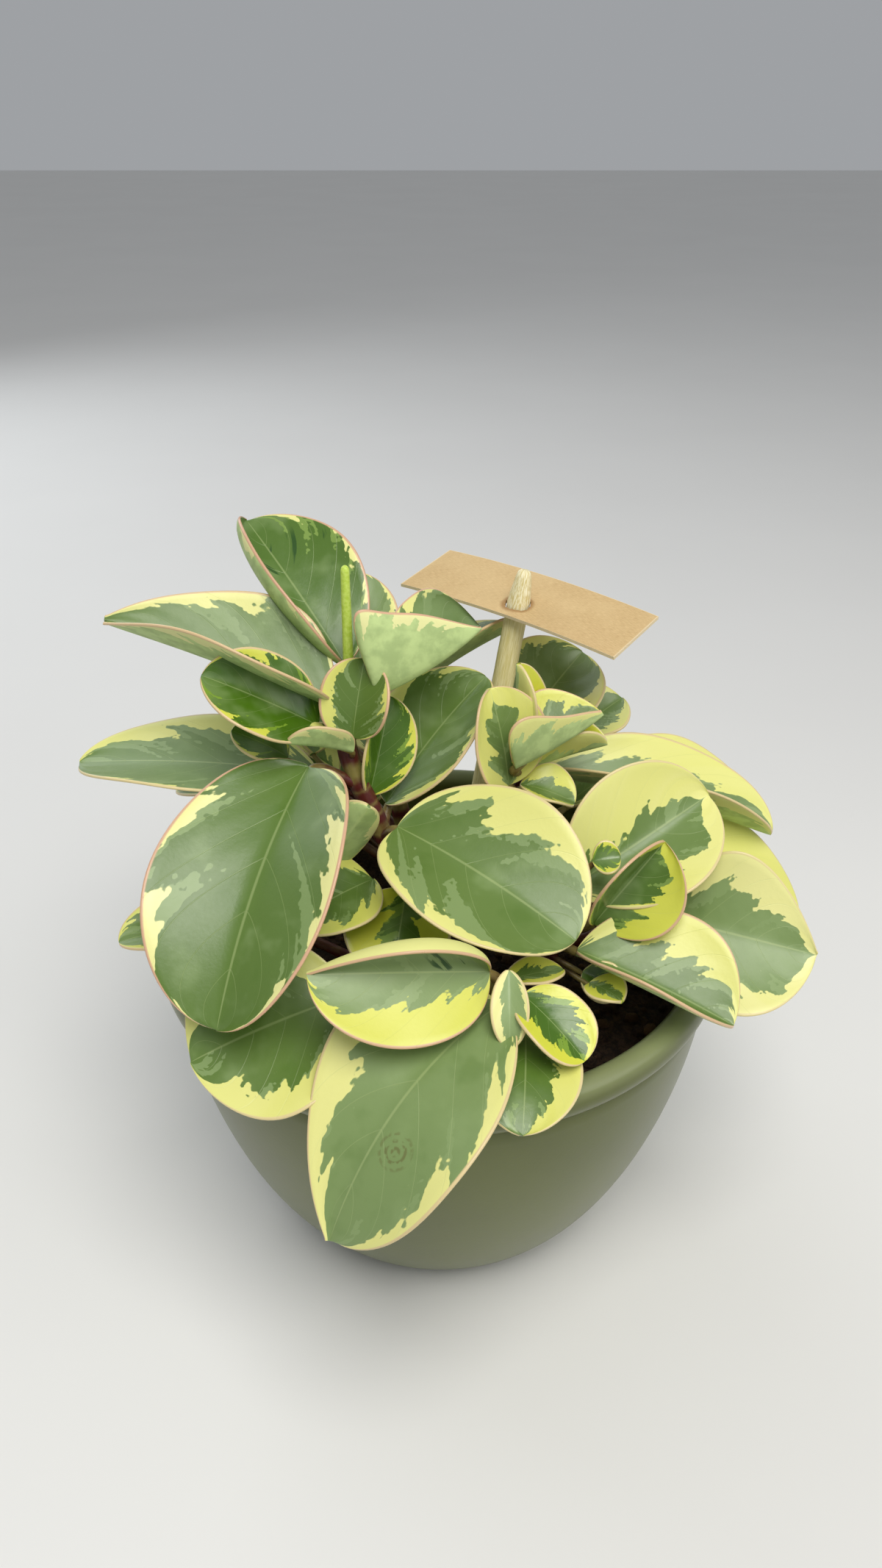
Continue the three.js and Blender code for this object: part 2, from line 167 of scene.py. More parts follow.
# Leaf pattern. Each row of lobes has its waves along the leaf, the noise's layer and detail, and how far
# it moves the edge of the green.
LOBES = [(5.0, 0.0, 1.5, 1.1), (14.0, 5.0, 1.5, 0.42)]
PALE_LOBES = (6.0, 3.0, 2.0, -3.6)
# Scallops to a leaf's length and to half its width.
SCALLOPS = (26.0, 11.0)
SCALLOP_REACH = 0.25
PALE_SCALLOP_REACH = 0.5
GREEN_EDGE = 0.012
PALE_EDGE = 0.02
TIP_FADE = 0.2
# Steps through the noise, so that no two halves or leaves are alike.
HALF_SHIFT = 7.7
LEAF_SHIFT = 61.0
SEED_STEPS = (0.173, 0.291)
# How far the midrib and the side veins turn to VEIN_PALE.
MIDRIB_SHARE = 0.26
LATERAL_SHARE = 0.15

# Leaves on the far side
FAN_REACH = 17
FAN_STEP = 9
FAN_LENGTHS = (38, 46)
FAN_WIDTH_SHARE = 0.66
FAN_JITTER = 4
FAN_ROLL = 8
FAN_DROOP = 2
FAN_ARCH = 0.07
FAN_FOLD = (14, 14)
FAN_CUP = 18
# How green the left and right halves are, yellow and tone: each has the first leaf's value, the step
# from leaf to leaf, and the number of leaves until it starts again.
FAN_LOOKS = [(0.55, 0.3, 2), (0.6, 0.1, 3), (0.3, 0.15, 3), (0.3, 0.12, 3)]
SEED_SPREAD = 7919
RANDOM_FACTOR = 16807
RANDOM_MODULUS = 2147483647

# Plant marker
STICK_RADIUS = 2.8
STICK_FOOT = (5, 20)
STICK_LEAN = (0.165, 0.105)
STICK_TOP = 168
STICK_HEAD = [(0, 8), (0.2, 6), (0.5, 4), (0.8, 2.2), (1.2, 0.6), (1.7, 0.15)]
STICK_SIDES = 28
STICK_STEPS = 50
STICK_UNEVEN = 0.04
STICK_WAVE = 0.9
FRAYED_LENGTH = 2
CARD_SIZE = (62, 21, 0.8)
CARD_HEIGHT = 159
CARD_TURN = -37
CARD_TILT = 8
CARD_DIP = 3
CARD_SAG = 1.4
CARD_HOLE_AT = (1, -5)
CARD_RINGS = 14
CARD_RAYS = 72
CARD_EDGE_RING = 0.985
CARD_RAY_SHIFT = 0.01
TOWARDS_HOLE = 1.6
NO_LENGTH = 1e-9
RAGGED = 0.18
RAGGED_WAVES = (5, 9)
CARD_TORN = 0.5
TORN_REACH = 1.6
TORN_UNEVEN = 0.4
TORN_WAVES = 3
# Edges of the card that turn more than this, in degrees, stay sharp.
SHARP_EDGE = 40

# Floor, light and camera, in metres
FLOOR_REACH = 4.0
WORLD_COLOUR = (0.86, 0.89, 0.93, 1)
WORLD_STRENGTH = 0.4
LIGHTS_AIM = (0, 0, 0.09)
# Each light's name, place, size, power in watts and colour.
LIGHTS = [
    ("window", (0.12, -0.42, 0.92), 0.6, 7, (1.0, 0.98, 0.94)),
    ("side", (0.62, -0.34, 0.5), 0.5, 0.9, (1.0, 0.99, 0.96)),
    ("sky", (-0.6, 0.7, 0.6), 0.9, 3.5, (0.92, 0.96, 1.0)),
]
CAMERA_PLACE = (0, -0.238, 0.270)
CAMERA_PITCH = 58.8
CAMERA_LENS = 27.0
CAMERA_CLIP_START = 0.01


# ---- materials ----

def rgb(red, green, blue):
    """A colour given as 0 to 255 in sRGB, as Blender's sockets take it."""
    shares = [value / 255 for value in (red, green, blue)]
    return tuple(s / 12.92 if s <= 0.04045 else ((s + 0.055) / 1.055) ** 2.4 for s in shares) + (1,)


class Graph:
    """A material's nodes, joined by calls that return sockets."""

    def __init__(self, name, specular=0.5, **fixed):
        self.material = bpy.data.materials.new(name)
        self.material.use_nodes = True
        self.tree = self.material.node_tree
        self.shader = self.tree.nodes["Principled BSDF"]
        self.shader.inputs["Specular IOR Level"].default_value = specular
        for socket, value in fixed.items():
            self.shader.inputs[socket.replace("_", " ")].default_value = value

    def put(self, socket, value):
        if isinstance(value, bpy.types.NodeSocket):
            self.tree.links.new(value, socket)
        else:
            socket.default_value = value

    def node(self, kind, inputs, **settings):
        node = self.tree.nodes.new("ShaderNode" + kind)
        for key, value in settings.items():
            setattr(node, key, value)
        for key, value in inputs.items():
            self.put(node.inputs[key], value)
        return node

    def math(self, operation, *values, clamp=False):
        inputs = dict(enumerate(values))
        return self.node("Math", inputs, operation=operation, use_clamp=clamp).outputs[0]

    def times(self, first, second):
        return self.math("MULTIPLY", first, second)

    def minus(self, first, second):
        return self.math("SUBTRACT", first, second)

    def scaled(self, value, factor, base, clamp=False):
        return self.math("MULTIPLY_ADD", value, factor, base, clamp=clamp)

    def mix(self, share, first, second):
        return self.node("Mix", {0: share, 6: first, 7: second}, data_type="RGBA").outputs[2]

    def blend(self, share, first, second):
        return self.node("Mix", {0: share, 2: first, 3: second}, data_type="FLOAT").outputs[0]

    def ramp(self, value, low, high, start=0, end=1):
        """Goes smoothly from start to end while value goes from low to high."""
        inputs = {"Value": value, "From Min": low, "From Max": high, "To Min": start, "To Max": end}
        return self.node("MapRange", inputs, interpolation_type="SMOOTHSTEP").outputs[0]

    def tint(self, colour, other, value, low, high, most=1):
        """The other colour over the first, up to the share most as value goes from low to high."""
        return self.mix(self.ramp(value, low, high, 0, most), colour, other)

    def noise(self, vector, scale, detail=3, roughness=0.55):
        inputs = {"Vector": vector, "Scale": scale, "Detail": detail, "Roughness": roughness}
        return self.node("TexNoise", inputs).outputs["Fac"]

    def place(self, x, y, z=0):
        return self.node("CombineXYZ", {0: x, 1: y, 2: z}).outputs[0]

    def split(self, vector):
        return self.node("SeparateXYZ", {0: vector}).outputs

    def object_place(self):
        return self.node("TexCoord", {}).outputs["Object"]

    def cloud(self, *grain):
        """Noise through the solid, with its scale, detail and roughness."""
        return self.noise(self.object_place(), *grain)

    def uv(self):
        return self.split(self.node("UVMap", {}, uv_map="UVMap").outputs[0])

    def attribute(self, name):
        node = self.node("Attribute", {}, attribute_name=name)
        parts = self.node("SeparateColor", {0: node.outputs["Color"]}).outputs
        return parts[0], parts[1], parts[2], node.outputs["Alpha"]

    def bump(self, height, strength, distance):
        inputs = {"Height": height, "Strength": strength, "Distance": distance}
        self.put(self.shader.inputs["Normal"], self.node("Bump", inputs).outputs[0])

    def finish(self, colour, roughness):
        self.put(self.shader.inputs["Base Color"], colour)
        self.put(self.shader.inputs["Roughness"], roughness)
        return self.material


CREAM = rgb(236, 232, 166)
LIME = rgb(208, 210, 64)
GREY_GREEN = rgb(136, 158, 102)
YOUNG_GREEN = rgb(134, 166, 52)
MID_GREEN = rgb(92, 119, 50)
DEEP_GREEN = rgb(66, 102, 12)
UNDER_GREEN = rgb(190, 210, 142)
UNDER_CREAM = rgb(226, 224, 168)
PINK_RIM = rgb(206, 158, 130)
PALE_RIM = rgb(224, 216, 152)
VEIN_PALE = rgb(196, 210, 146)
SCAR_BROWN = rgb(98, 92, 44)
STROKE_GREEN = rgb(38, 76, 12)
MAROON = rgb(84, 28, 26)
STALK_GREEN = rgb(134, 122, 66)
SPIKE_GREENS = (rgb(182, 208, 74), rgb(200, 222, 104))
GLAZES = (rgb(85, 92, 42), rgb(95, 102, 49))
GLAZE_SPECK = rgb(84, 90, 60)
# The lip's colour: thinned glaze with a painted highlight.
LIP_GLAZE_AND_HIGHLIGHT = rgb(150, 158, 118)
SOILS = (rgb(24, 17, 12), rgb(66, 48, 34))
SOIL_PALE = rgb(104, 76, 50)
BAMBOOS = (rgb(226, 210, 142), rgb(246, 234, 184))
BAMBOO_BAND = rgb(212, 198, 134)
FRAYED_ENDS = (rgb(208, 190, 128), rgb(242, 234, 198))
KRAFTS = (rgb(186, 157, 110), rgb(204, 176, 128))
KRAFT_PALE = rgb(214, 188, 140)
KRAFT_FLECK = rgb(150, 116, 72)
KRAFT_EDGE = rgb(236, 220, 184)
KRAFT_SCUFF = rgb(136, 94, 46)
FLOORS = (rgb(222, 221, 218), rgb(228, 227, 224))


def leaf_pattern(graph):
    """Where a point lies on its blade, and how green it is. The green runs out from the midrib in lobes
    that follow the side veins and end in small scallops. Its outer parts are paler than its middle."""
    u, v, _ = graph.uv()
    across = graph.scaled(u, 2, -1)
    out = graph.math("ABSOLUTE", across)
    left = graph.math("GREATER_THAN", across, 0)
    green_left, green_right, yellow, tone = graph.attribute("zones")
    seed, pink, strokes, tip = graph.attribute("marks")
    vein = graph.scaled(graph.math("POWER", out, VEIN_BEND), -VEIN_SWEEP, v)
    row = graph.scaled(left, HALF_SHIFT, graph.times(seed, LEAF_SHIFT))

    def moved(edge, waves, layer, detail, reach):
        place = graph.place(graph.times(vein, waves), row, layer)
        return graph.scaled(graph.minus(graph.noise(place, 1, detail, 0.5), 0.5), reach, edge)

    def inside(edge, softness):
        return graph.ramp(out, graph.minus(edge, softness), graph.math("ADD", edge, softness), 1, 0)

    limit = graph.blend(left, green_right, green_left)
    for lobes in LOBES:
        limit = moved(limit, *lobes)
    cells = graph.place(graph.times(v, SCALLOPS[0]), graph.times(across, SCALLOPS[1]), row)
    scallops = graph.minus(graph.noise(cells, 1, 1.5, 0.5), 0.5)
    limit = graph.scaled(scallops, SCALLOP_REACH, limit)
    limit = graph.times(limit, graph.ramp(v, graph.minus(tip, TIP_FADE), tip, 1, 0))
    inner = moved(graph.math("ADD", limit, PALE_EDGE), *PALE_LOBES)
    inner = graph.scaled(scallops, PALE_SCALLOP_REACH, inner)
    return SimpleNamespace(
        out=out, across=across, along=v, vein=vein, row=row, green=inside(limit, GREEN_EDGE),
        middle=inside(inner, PALE_EDGE), yellow=yellow, tone=tone, pink=pink, strokes=strokes)


def scar_share(graph, zone):
    """Broken brown rings round one place on the blade, as left by an old drop or bite."""
    offsets = [graph.times(graph.minus(place, centre), size)
               for place, centre, size in zip((zone.across, zone.along), SCAR_AT, SCAR_LEAF)]
    radius = graph.node("VectorMath", {0: graph.place(*offsets)}, operation="LENGTH").outputs["Value"]
    rings = graph.ramp(graph.math("PINGPONG", radius, SCAR_RING), 0.3 * SCAR_RING, 0.8 * SCAR_RING)
    broken = graph.ramp(graph.noise(graph.place(*offsets), 0.7, 1), 0.42, 0.55)
    inside = graph.ramp(radius, SCAR_RADII[0], SCAR_RADII[1], 1, 0)
    return graph.times(graph.times(rings, broken), inside)


def rim_colour(graph, zone, colour):
    rim = graph.mix(zone.pink, PALE_RIM, PINK_RIM)
    return graph.tint(colour, rim, zone.out, 0.978, 0.998)


def leaf_upper(name="leaf_upper", scarred=False):
    """The waxy upper face: green along the veins, paler patches, a cream or lime margin and a rim."""
    graph = Graph(name, Coat_Weight=0.12, Coat_Roughness=0.18)
    zone = leaf_pattern(graph)
    along = graph.times(zone.vein, 3)
    flush = graph.noise(graph.place(along, zone.row, 8), 1)
    margin = graph.mix(zone.yellow, CREAM, LIME)
    margin = graph.tint(margin, LIME, flush, 0.45, 0.7, 0.18)
    low = graph.ramp(zone.tone, 0, 0.5)
    high = graph.ramp(zone.tone, 0.5, 1)
    green = graph.mix(high, graph.mix(low, GREY_GREEN, MID_GREEN), DEEP_GREEN)
    paler = graph.mix(0.7, green, graph.mix(high, GREY_GREEN, YOUNG_GREEN))
    cloud = graph.cloud(70, 3)
    green = graph.tint(green, GREY_GREEN, cloud, 0.5, 0.68, 0.45)
    green = graph.tint(green, DEEP_GREEN, cloud, 0.45, 0.3, 0.3)
    streaks = graph.place(graph.times(zone.vein, 15), zone.row, zone.out)
    fine = graph.noise(streaks, 1)
    area = graph.cloud(95, 1)
    stroke = graph.times(graph.ramp(fine, 0.56, 0.6), graph.ramp(area, 0.52, 0.56))
    from_middle = graph.math("ABSOLUTE", graph.minus(zone.along, zone.strokes))
    stroke = graph.times(stroke, graph.ramp(from_middle, 0.1, 0.2, 1, 0))
    stroke = graph.times(stroke, graph.math("GREATER_THAN", zone.strokes, 0))
    green = graph.mix(stroke, green, STROKE_GREEN)
    colour = graph.mix(zone.green, margin, graph.mix(zone.middle, paler, green))
    lines = graph.math("PINGPONG", graph.times(zone.vein, VEIN_COUNT), 0.5)
    lateral = graph.ramp(lines, 0.018, 0.004)
    midrib = graph.ramp(zone.out, 0.022, 0.006)
    line = graph.math("MAXIMUM", graph.times(lateral, LATERAL_SHARE), graph.times(midrib, MIDRIB_SHARE))
    colour = graph.mix(line, colour, VEIN_PALE)
    colour = rim_colour(graph, zone, colour)
    if scarred:
        colour = graph.mix(graph.times(scar_share(graph, zone), SCAR_SHARE), colour, SCAR_BROWN)
    grain = graph.cloud(1100, 3)
    height = graph.scaled(grain, 0.3, graph.times(lateral, -0.5))
    graph.bump(height, 0.25, 0.0004)
    gloss = graph.scaled(zone.tone, -0.18, 0.42)
    return graph.finish(colour, graph.scaled(grain, 0.1, gloss))


def leaf_under():
    """The matt underside: the same zones, paler and mottled."""
    graph = Graph("leaf_under", 0.3)
    zone = leaf_pattern(graph)
    mottle = graph.cloud(260, 4)
    green = graph.tint(UNDER_GREEN, GREY_GREEN, mottle, 0.35, 0.65, 0.5)
    margin = graph.mix(graph.times(zone.yellow, 0.5), UNDER_CREAM, LIME)
    colour = graph.mix(zone.green, margin, green)
    midrib = graph.ramp(zone.out, 0.06, 0.02)
    colour = graph.mix(graph.times(midrib, 0.6), colour, VEIN_PALE)
    colour = rim_colour(graph, zone, colour)
    graph.bump(mottle, 0.3, 0.0005)
    return graph.finish(colour, graph.scaled(mottle, 0.15, 0.5))


def stalk_material():
    """Maroon nodes and petiole feet that turn to green-brown further out."""
    graph = Graph("stalk")
    growth = graph.attribute("zones")[0]
    mottle = graph.cloud(420, 4)
    share = graph.scaled(graph.minus(mottle, 0.5), 0.7, growth, clamp=True)
    colour = graph.tint(MAROON, STALK_GREEN, share, 0.2, 0.85)
    graph.bump(mottle, 0.4, 0.0005)
    return graph.finish(colour, graph.scaled(mottle, 0.2, 0.3))


def spike_material():
    graph = Graph("flower_spike", 0.4)
    grains = graph.cloud(1400, 2)
    colour = graph.tint(*SPIKE_GREENS, grains, 0.35, 0.65)
    graph.bump(grains, 0.12, 0.0002)
    return graph.finish(colour, graph.scaled(grains, 0.2, 0.42))


def glaze_material():
    """Satin sage-green glaze with faint clouds and fine specks, paler on the lip where it thins and where a
    highlight is painted.
    """
    graph = Graph("glaze", 0.4, Coat_Weight=0.15, Coat_Roughness=0.2)
    place = graph.object_place()
    cloud = graph.noise(place, 22, 4)
    specks = graph.noise(place, 950, 2)
    colour = graph.tint(*GLAZES, cloud, 0.3, 0.7)
    colour = graph.tint(colour, GLAZE_SPECK, specks, 0.62, 0.72, 0.25)
    height = graph.split(place)[2]
    # Paler towards the top of the lip: partly the glaze thinning there, partly a painted highlight.
    colour = graph.tint(colour, LIP_GLAZE_AND_HIGHLIGHT, height, *THIN_GLAZE_AND_HIGHLIGHT, 0.5)
    graph.bump(graph.scaled(cloud, 0.8, graph.times(specks, 0.2)), 0.12, 0.0006)
    return graph.finish(colour, graph.scaled(cloud, 0.12, 0.27))


def soil_material():
    graph = Graph("soil", 0.2)
    shade = graph.attribute("zones")[0]
    crumbs = graph.cloud(500, 6, 0.7)
    dark = graph.tint(*SOILS, crumbs, 0.35, 0.7)
    colour = graph.mix(graph.times(shade, 0.8), dark, SOIL_PALE)
    graph.bump(crumbs, 0.9, 0.002)
    return graph.finish(colour, graph.scaled(crumbs, 0.1, 0.85))


def bamboo_material():
    """Pale bamboo with lengthwise fibres and a fibrous head. U runs round the stick and V along it."""
    graph = Graph("bamboo", 0.35)
    u, v, _ = graph.uv()
    round_it = graph.times(u, 26)
    fibres = graph.noise(graph.place(round_it, graph.times(v, 1.4)), 1, 4, 0.65)
    bands = graph.noise(graph.place(graph.times(u, 7), graph.times(v, 0.6), 4), 1)
    colour = graph.tint(*BAMBOOS, fibres, 0.38, 0.62)
    colour = graph.tint(colour, BAMBOO_BAND, bands, 0.45, 0.7, 0.4)
    head = graph.attribute("zones")[0]
    ends = graph.noise(graph.place(round_it, graph.times(v, 5)), 1, 3, 0.6)
    colour = graph.mix(head, colour, graph.tint(*FRAYED_ENDS, ends, 0.38, 0.62))
    graph.bump(graph.blend(head, fibres, ends), 0.35, 0.0004)
    return graph.finish(colour, graph.scaled(fibres, 0.15, 0.5))


def kraft_material():
    """Bare kraft board: long pulp fibres, flecks, pale cut edges and a darker scuff round the stick."""
    graph = Graph("kraft", 0.3)
    u, v, _ = graph.uv()
    fibres = graph.noise(graph.place(graph.times(u, 75), graph.times(v, 780)), 1, 3)
    clouds = graph.cloud(60, 3)
    flecks = graph.noise(graph.place(graph.times(u, 420), graph.times(v, 260)), 1, 2)
    colour = graph.tint(*KRAFTS, fibres, 0.4, 0.6)
    colour = graph.tint(colour, KRAFT_PALE, clouds, 0.4, 0.65, 0.35)
    colour = graph.tint(colour, KRAFT_FLECK, flecks, 0.68, 0.74, 0.4)
    edge, scuff = graph.attribute("zones")[:2]
    colour = graph.mix(graph.times(edge, 0.7), colour, KRAFT_EDGE)
    torn = graph.ramp(graph.scaled(graph.minus(clouds, 0.5), 0.8, scuff), 0.3, 0.9)
    colour = graph.mix(graph.times(torn, 0.7), colour, KRAFT_SCUFF)
    graph.bump(fibres, 0.15, 0.0002)
    return graph.finish(colour, graph.scaled(fibres, 0.1, 0.62))


def floor_material():
    graph = Graph("floor")
    return graph.finish(graph.mix(graph.cloud(6), *FLOORS), 0.7)


# ---- meshes ----

class Parts:
    """Closed surfaces gathered into one mesh, with UVs, two attributes and a material for each face."""

    def __init__(self):
        self.points = []
        self.faces = []
        self.uvs = []
        self.zones = []
        self.marks = []
        self.finishes = []

    def add(self, points, faces, uvs, zones, marks=(0, 0, 0, 0), finishes=0):
        """uvs, zones and marks are one for all points or one each. Faces are turned to point outwards."""
        start = sum(len(block) for block in self.points)
        points = np.asarray(points, float)
        if signed_volume(points, faces) < 0:
            faces = [face[::-1] for face in faces]
        self.points.append(points)
        self.faces.extend([tuple(corner + start for corner in face) for face in faces])
        for rows, values, size in ((self.uvs, uvs, 2), (self.zones, zones, 4), (self.marks, marks, 4)):
            rows.append(np.broadcast_to(np.asarray(values, float), (len(points), size)))
        self.finishes.extend([finishes] * len(faces) if isinstance(finishes, int) else finishes)

    def build(self, name, slot, replaced, materials):
        mesh = bpy.data.meshes.new(name)
        mesh.from_pydata((np.concatenate(self.points) * MM).tolist(), [], self.faces)
        corners = np.empty(len(mesh.loops), int)
        mesh.loops.foreach_get("vertex_index", corners)
        layer = mesh.uv_layers.new(name="UVMap")
        layer.data.foreach_set("uv", np.concatenate(self.uvs)[corners].ravel())
        for label, values in (("zones", self.zones), ("marks", self.marks)):
            attribute = mesh.attributes.new(label, "FLOAT_COLOR", "POINT")
            attribute.data.foreach_set("color", np.concatenate(values).ravel())
        for material in materials:
            mesh.materials.append(material)
        mesh.polygons.foreach_set("material_index", self.finishes)
        mesh.shade_smooth()
        mesh.update()
        piece = placed(name, mesh)
        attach(piece, "root")
        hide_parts(replaced)
        return piece


def placed(name, data):
    made = bpy.data.objects.new(name, data)
    bpy.context.scene.collection.objects.link(made)
    return made


def signed_volume(points, faces):
    total = 0.0
    for face in faces:
        first = points[face[0]]
        for second, third in zip(face[1:-1], face[2:]):
            total += np.dot(first, np.cross(points[second], points[third]))
    return total


def unit(vector):
    return vector / np.linalg.norm(vector)


def ring_quads(rings, size, first=0, closed=False):
    """Quads between rings of the same size. Closed joins the last ring to the first."""
    faces = []
    for ring in range(rings if closed else rings - 1):
        here = first + ring * size
        there = first + (ring + 1) % rings * size
        for k in range(size):
            after = (k + 1) % size
            faces.append((here + k, here + after, there + after, there + k))
    return faces


def capped_rings(rings, size):
    """Quads between rings, and a face at each end."""
    last = (rings - 1) * size
    return ring_quads(rings, size) + [tuple(range(size))[::-1], tuple(range(last, last + size))]


def tube(parts, path, radii, sides, zones):
    """A round bar along a path of points, with a radius and a zone colour at each."""
    path = np.asarray(path, float)
    steps = np.gradient(path, axis=0)
    steps /= np.linalg.norm(steps, axis=1)[:, None]
    side = unit(np.cross(steps[0], ASKEW))
    points = []
    uvs = []
    colours = []
    travelled = np.concatenate([[0], np.cumsum(np.linalg.norm(np.diff(path, axis=0), axis=1))])
    for place, step, radius, zone, length in zip(path, steps, radii, zones, travelled):
        side = unit(side - step * np.dot(side, step))
        other = np.cross(step, side)
        for k in range(sides):
            angle = 2 * math.pi * k / sides
            points.append(place + radius * (math.cos(angle) * side + math.sin(angle) * other))
            uvs.append((min(k, sides - k) * 2 / sides, length / TUBE_UV_LENGTH))
            colours.append(zone)
    parts.add(points, capped_rings(len(path), sides), uvs, colours)


def turned(parts, profile, sides, zones=(0, 0, 0, 0), lift=None):
    """A profile of (radius, height) turned about +Z. It starts and ends on the axis."""
    points = [(0, 0, profile[0][1])]
    for radius, height in profile[1:-1]:
        for k in range(sides):
            angle = 2 * math.pi * k / sides
            points.append((radius * math.cos(angle), radius * math.sin(angle), height))
    points.append((0, 0, profile[-1][1]))
    if lift:
        points = [lift(*point) for point in points]
    end = len(points) - 1
    last = end - sides
    faces = ring_quads(len(profile) - 2, sides, 1)
    for k in range(sides):
        after = (k + 1) % sides
        faces.append((0, 1 + after, 1 + k))
        faces.append((end, last + k, last + after))
    uvs = [(math.hypot(x, y) / UV_LENGTH, z / UV_LENGTH) for x, y, z in points]
    parts.add(points, faces, uvs, zones)


def catmull(points, samples):
    """The centripetal Catmull-Rom curve through points, at evenly spaced values of its parameter."""
    points = [np.asarray(point, float) for point in points]
    ends = [2 * points[0] - points[1]] + points + [2 * points[-1] - points[-2]]
    curve = []
    for k in range(samples + 1):
        place = k / samples * (len(points) - 1)
        index = min(int(place), len(points) - 2)
        share = place - index
        p0, p1, p2, p3 = ends[index:index + 4]
        d0, d1, d2 = (math.sqrt(np.linalg.norm(b - a)) for a, b in ((p0, p1), (p1, p2), (p2, p3)))
        start = ((p1 - p0) / d0 - (p2 - p0) / (d0 + d1) + (p2 - p1) / d1) * d1
        end = ((p2 - p1) / d1 - (p3 - p1) / (d1 + d2) + (p3 - p2) / d2) * d1
        square, cube = share ** 2, share ** 3
        curve.append((2 * cube - 3 * square + 1) * p1 + (cube - 2 * square + share) * start
                     + (3 * square - 2 * cube) * p2 + (cube - square) * end)
    return curve


# ---- leaves ----

# Two exponents shape a blade's outline: how fast it widens from its root and narrows to its tip.
ROUND = (0.5, 0.5)
OVAL = (0.65, 0.6)
TAPERING = (0.6, 0.95)
BLUNT = (0.2, 0.95)
LATE = (1, 0.4)


def leaf(root, tip, width, roll, arch, fold, cup, outline, left, right, yellow, tone, pink=0.4,
         green_end=1.2, strokes=0.0, scarred=False):
    """Roll turns the leaf about its midrib, left side up. Arch lifts its middle, as a share of its
    length. Fold bends its left and right halves up, in degrees, and cup adds to that at the rim. Cup
    and outline are one for both halves, or a pair. Left and right are how green the halves are, as a
    share of their width. Yellow is the margin's, tone how deep the green is, and pink the rim's. The
    green ends and dark strokes lie at a share of the leaf's length, with no strokes at 0."""
    return SimpleNamespace(
        root=np.array(root, float), tip=np.array(tip, float), width=width, roll=roll, arch=arch,
        fold=fold, cups=cup if isinstance(cup, tuple) else (cup, cup),
        outlines=outline if isinstance(outline[0], tuple) else (outline, outline),
        zones=(left, right, yellow, tone), marks=(pink, strokes, green_end), scarred=scarred)


def leaf_axes(one):
    along = one.tip - one.root
    length = np.linalg.norm(along)
    along = along / length
    flat = unit(np.cross(UP, along))
    roll = math.radians(one.roll)
    left = flat * math.cos(roll) + np.cross(along, flat) * math.sin(roll)
    return along, left, np.cross(along, left), length


def half_width_share(outline, share):
    widen, narrow = outline
    widest = widen / (widen + narrow)
    most = widest ** widen * (1 - widest) ** narrow
    return share ** widen * (1 - share) ** narrow / most


def half_section(fold, cup, steps):
    """One half of a blade's section for a half-width of 1: how far out, how far up, and its angle, at
    points that lie closer together near the midrib."""
    places = (np.arange(steps + 1) / steps) ** TOWARDS_MIDRIB
    fine = np.linspace(0, 1, ARC_STEPS + 1)
    bend = np.clip(fine / CREASE, 0, 1)
    angles = math.radians(fold) * bend * bend * (3 - 2 * bend) + math.radians(cup) * fine
    middle = (angles[1:] + angles[:-1]) / 2
    out, rise = (np.concatenate([[0], np.cumsum(turn(middle))]) / ARC_STEPS for turn in (np.cos, np.sin))
    return places, *(np.interp(places, fine, values) for values in (out, rise, angles))


def add_leaf(parts, one, phase, seed):
    """The blade as one closed surface with a rounded rim, a crease and shallow veins on its upper face,
    and a keel below its midrib."""
    small = one.width < SMALL_WIDTH
    steps = SMALL_BLADE_STEPS if small else BLADE_STEPS
    half_steps = SMALL_BLADE_HALF_STEPS if small else BLADE_HALF_STEPS
    along, left, face, length = leaf_axes(one)
    sections = [half_section(fold, cup, half_steps) for fold, cup in zip(one.fold, one.cups)]
    across, out, rise, angle = (np.concatenate([sign * right_part[::-1], left_part[1:]])
                                for sign, left_part, right_part in zip((-1, -1, 1, -1), *sections))
    distance = np.abs(across)
    thickness = BLADE_THICKNESS + (RIM_THICKNESS - BLADE_THICKNESS) * distance
    points = []
    uvs = []
    rim_angles = (0.25 * math.pi, 0, -0.25 * math.pi)
    for step in range(steps + 1):
        share = (1 - math.cos(math.pi * step / steps)) / 2
        halves = [0.5 * one.width * half_width_share(outline, share) for outline in one.outlines]
        halves = [math.hypot(half, LEAST_HALF_WIDTH) for half in halves]
        half = np.where(across > 0, *halves)
        lift = 4 * share * (1 - share) * one.arch * length
        rib = one.root + along * length * share + face * lift
        tangent = unit(along + face * 4 * one.arch * (1 - 2 * share))
        rib_face = unit(np.cross(tangent, left))
        wave = EDGE_WAVE * one.width * math.sin(2 * math.pi * (EDGE_WAVES * share + phase))
        height = half * rise + wave * across * distance
        centre = rib + np.outer(half * out, left) + np.outer(height, rib_face)
        normal = np.outer(-np.sin(angle), left) + np.outer(np.cos(angle), rib_face)
        vein = VEIN_COUNT * (share - VEIN_SWEEP * distance ** VEIN_BEND)
        groove = VEIN_DEPTH * np.cos(2 * math.pi * vein) * distance * (1 - distance) * 4
        groove *= np.minimum(1.0, half / GROOVED_HALF)
        keel = KEEL * np.exp(-(distance * half / KEEL_REACH) ** 2) * math.sqrt(1 - share)
        upper = centre + normal * (thickness / 2 - groove / 2)[:, None]
        lower = centre - normal * (thickness / 2 + keel)[:, None]
        rims = []
        for end, side in ((-1, 1), (0, -1)):
            away = side * math.cos(angle[end]) * left + side * math.sin(angle[end]) * rib_face
            radius = thickness[end] / 2
            turns = rim_angles if side == 1 else rim_angles[::-1]
            rims.append([centre[end] + radius * (math.cos(a) * away + math.sin(a) * normal[end])
                         for a in turns])
        points.extend([*upper, *rims[0], *lower[::-1], *rims[1]])
        row = [*across, 1, 1, 1, *across[::-1], -1, -1, -1]
        uvs.extend([(0.5 + 0.5 * place, share) for place in row])
    size = 2 * len(across) + 6
    faces = capped_rings(steps + 1, size)
    under = set(range(len(across) + 3, 2 * len(across) + 2))
    upper_finish = 2 if one.scarred else 0
    finishes = [1 if index % size in under else upper_finish for index in range(len(faces))]
    parts.add(points, faces, uvs, one.zones, (seed, *one.marks), finishes)


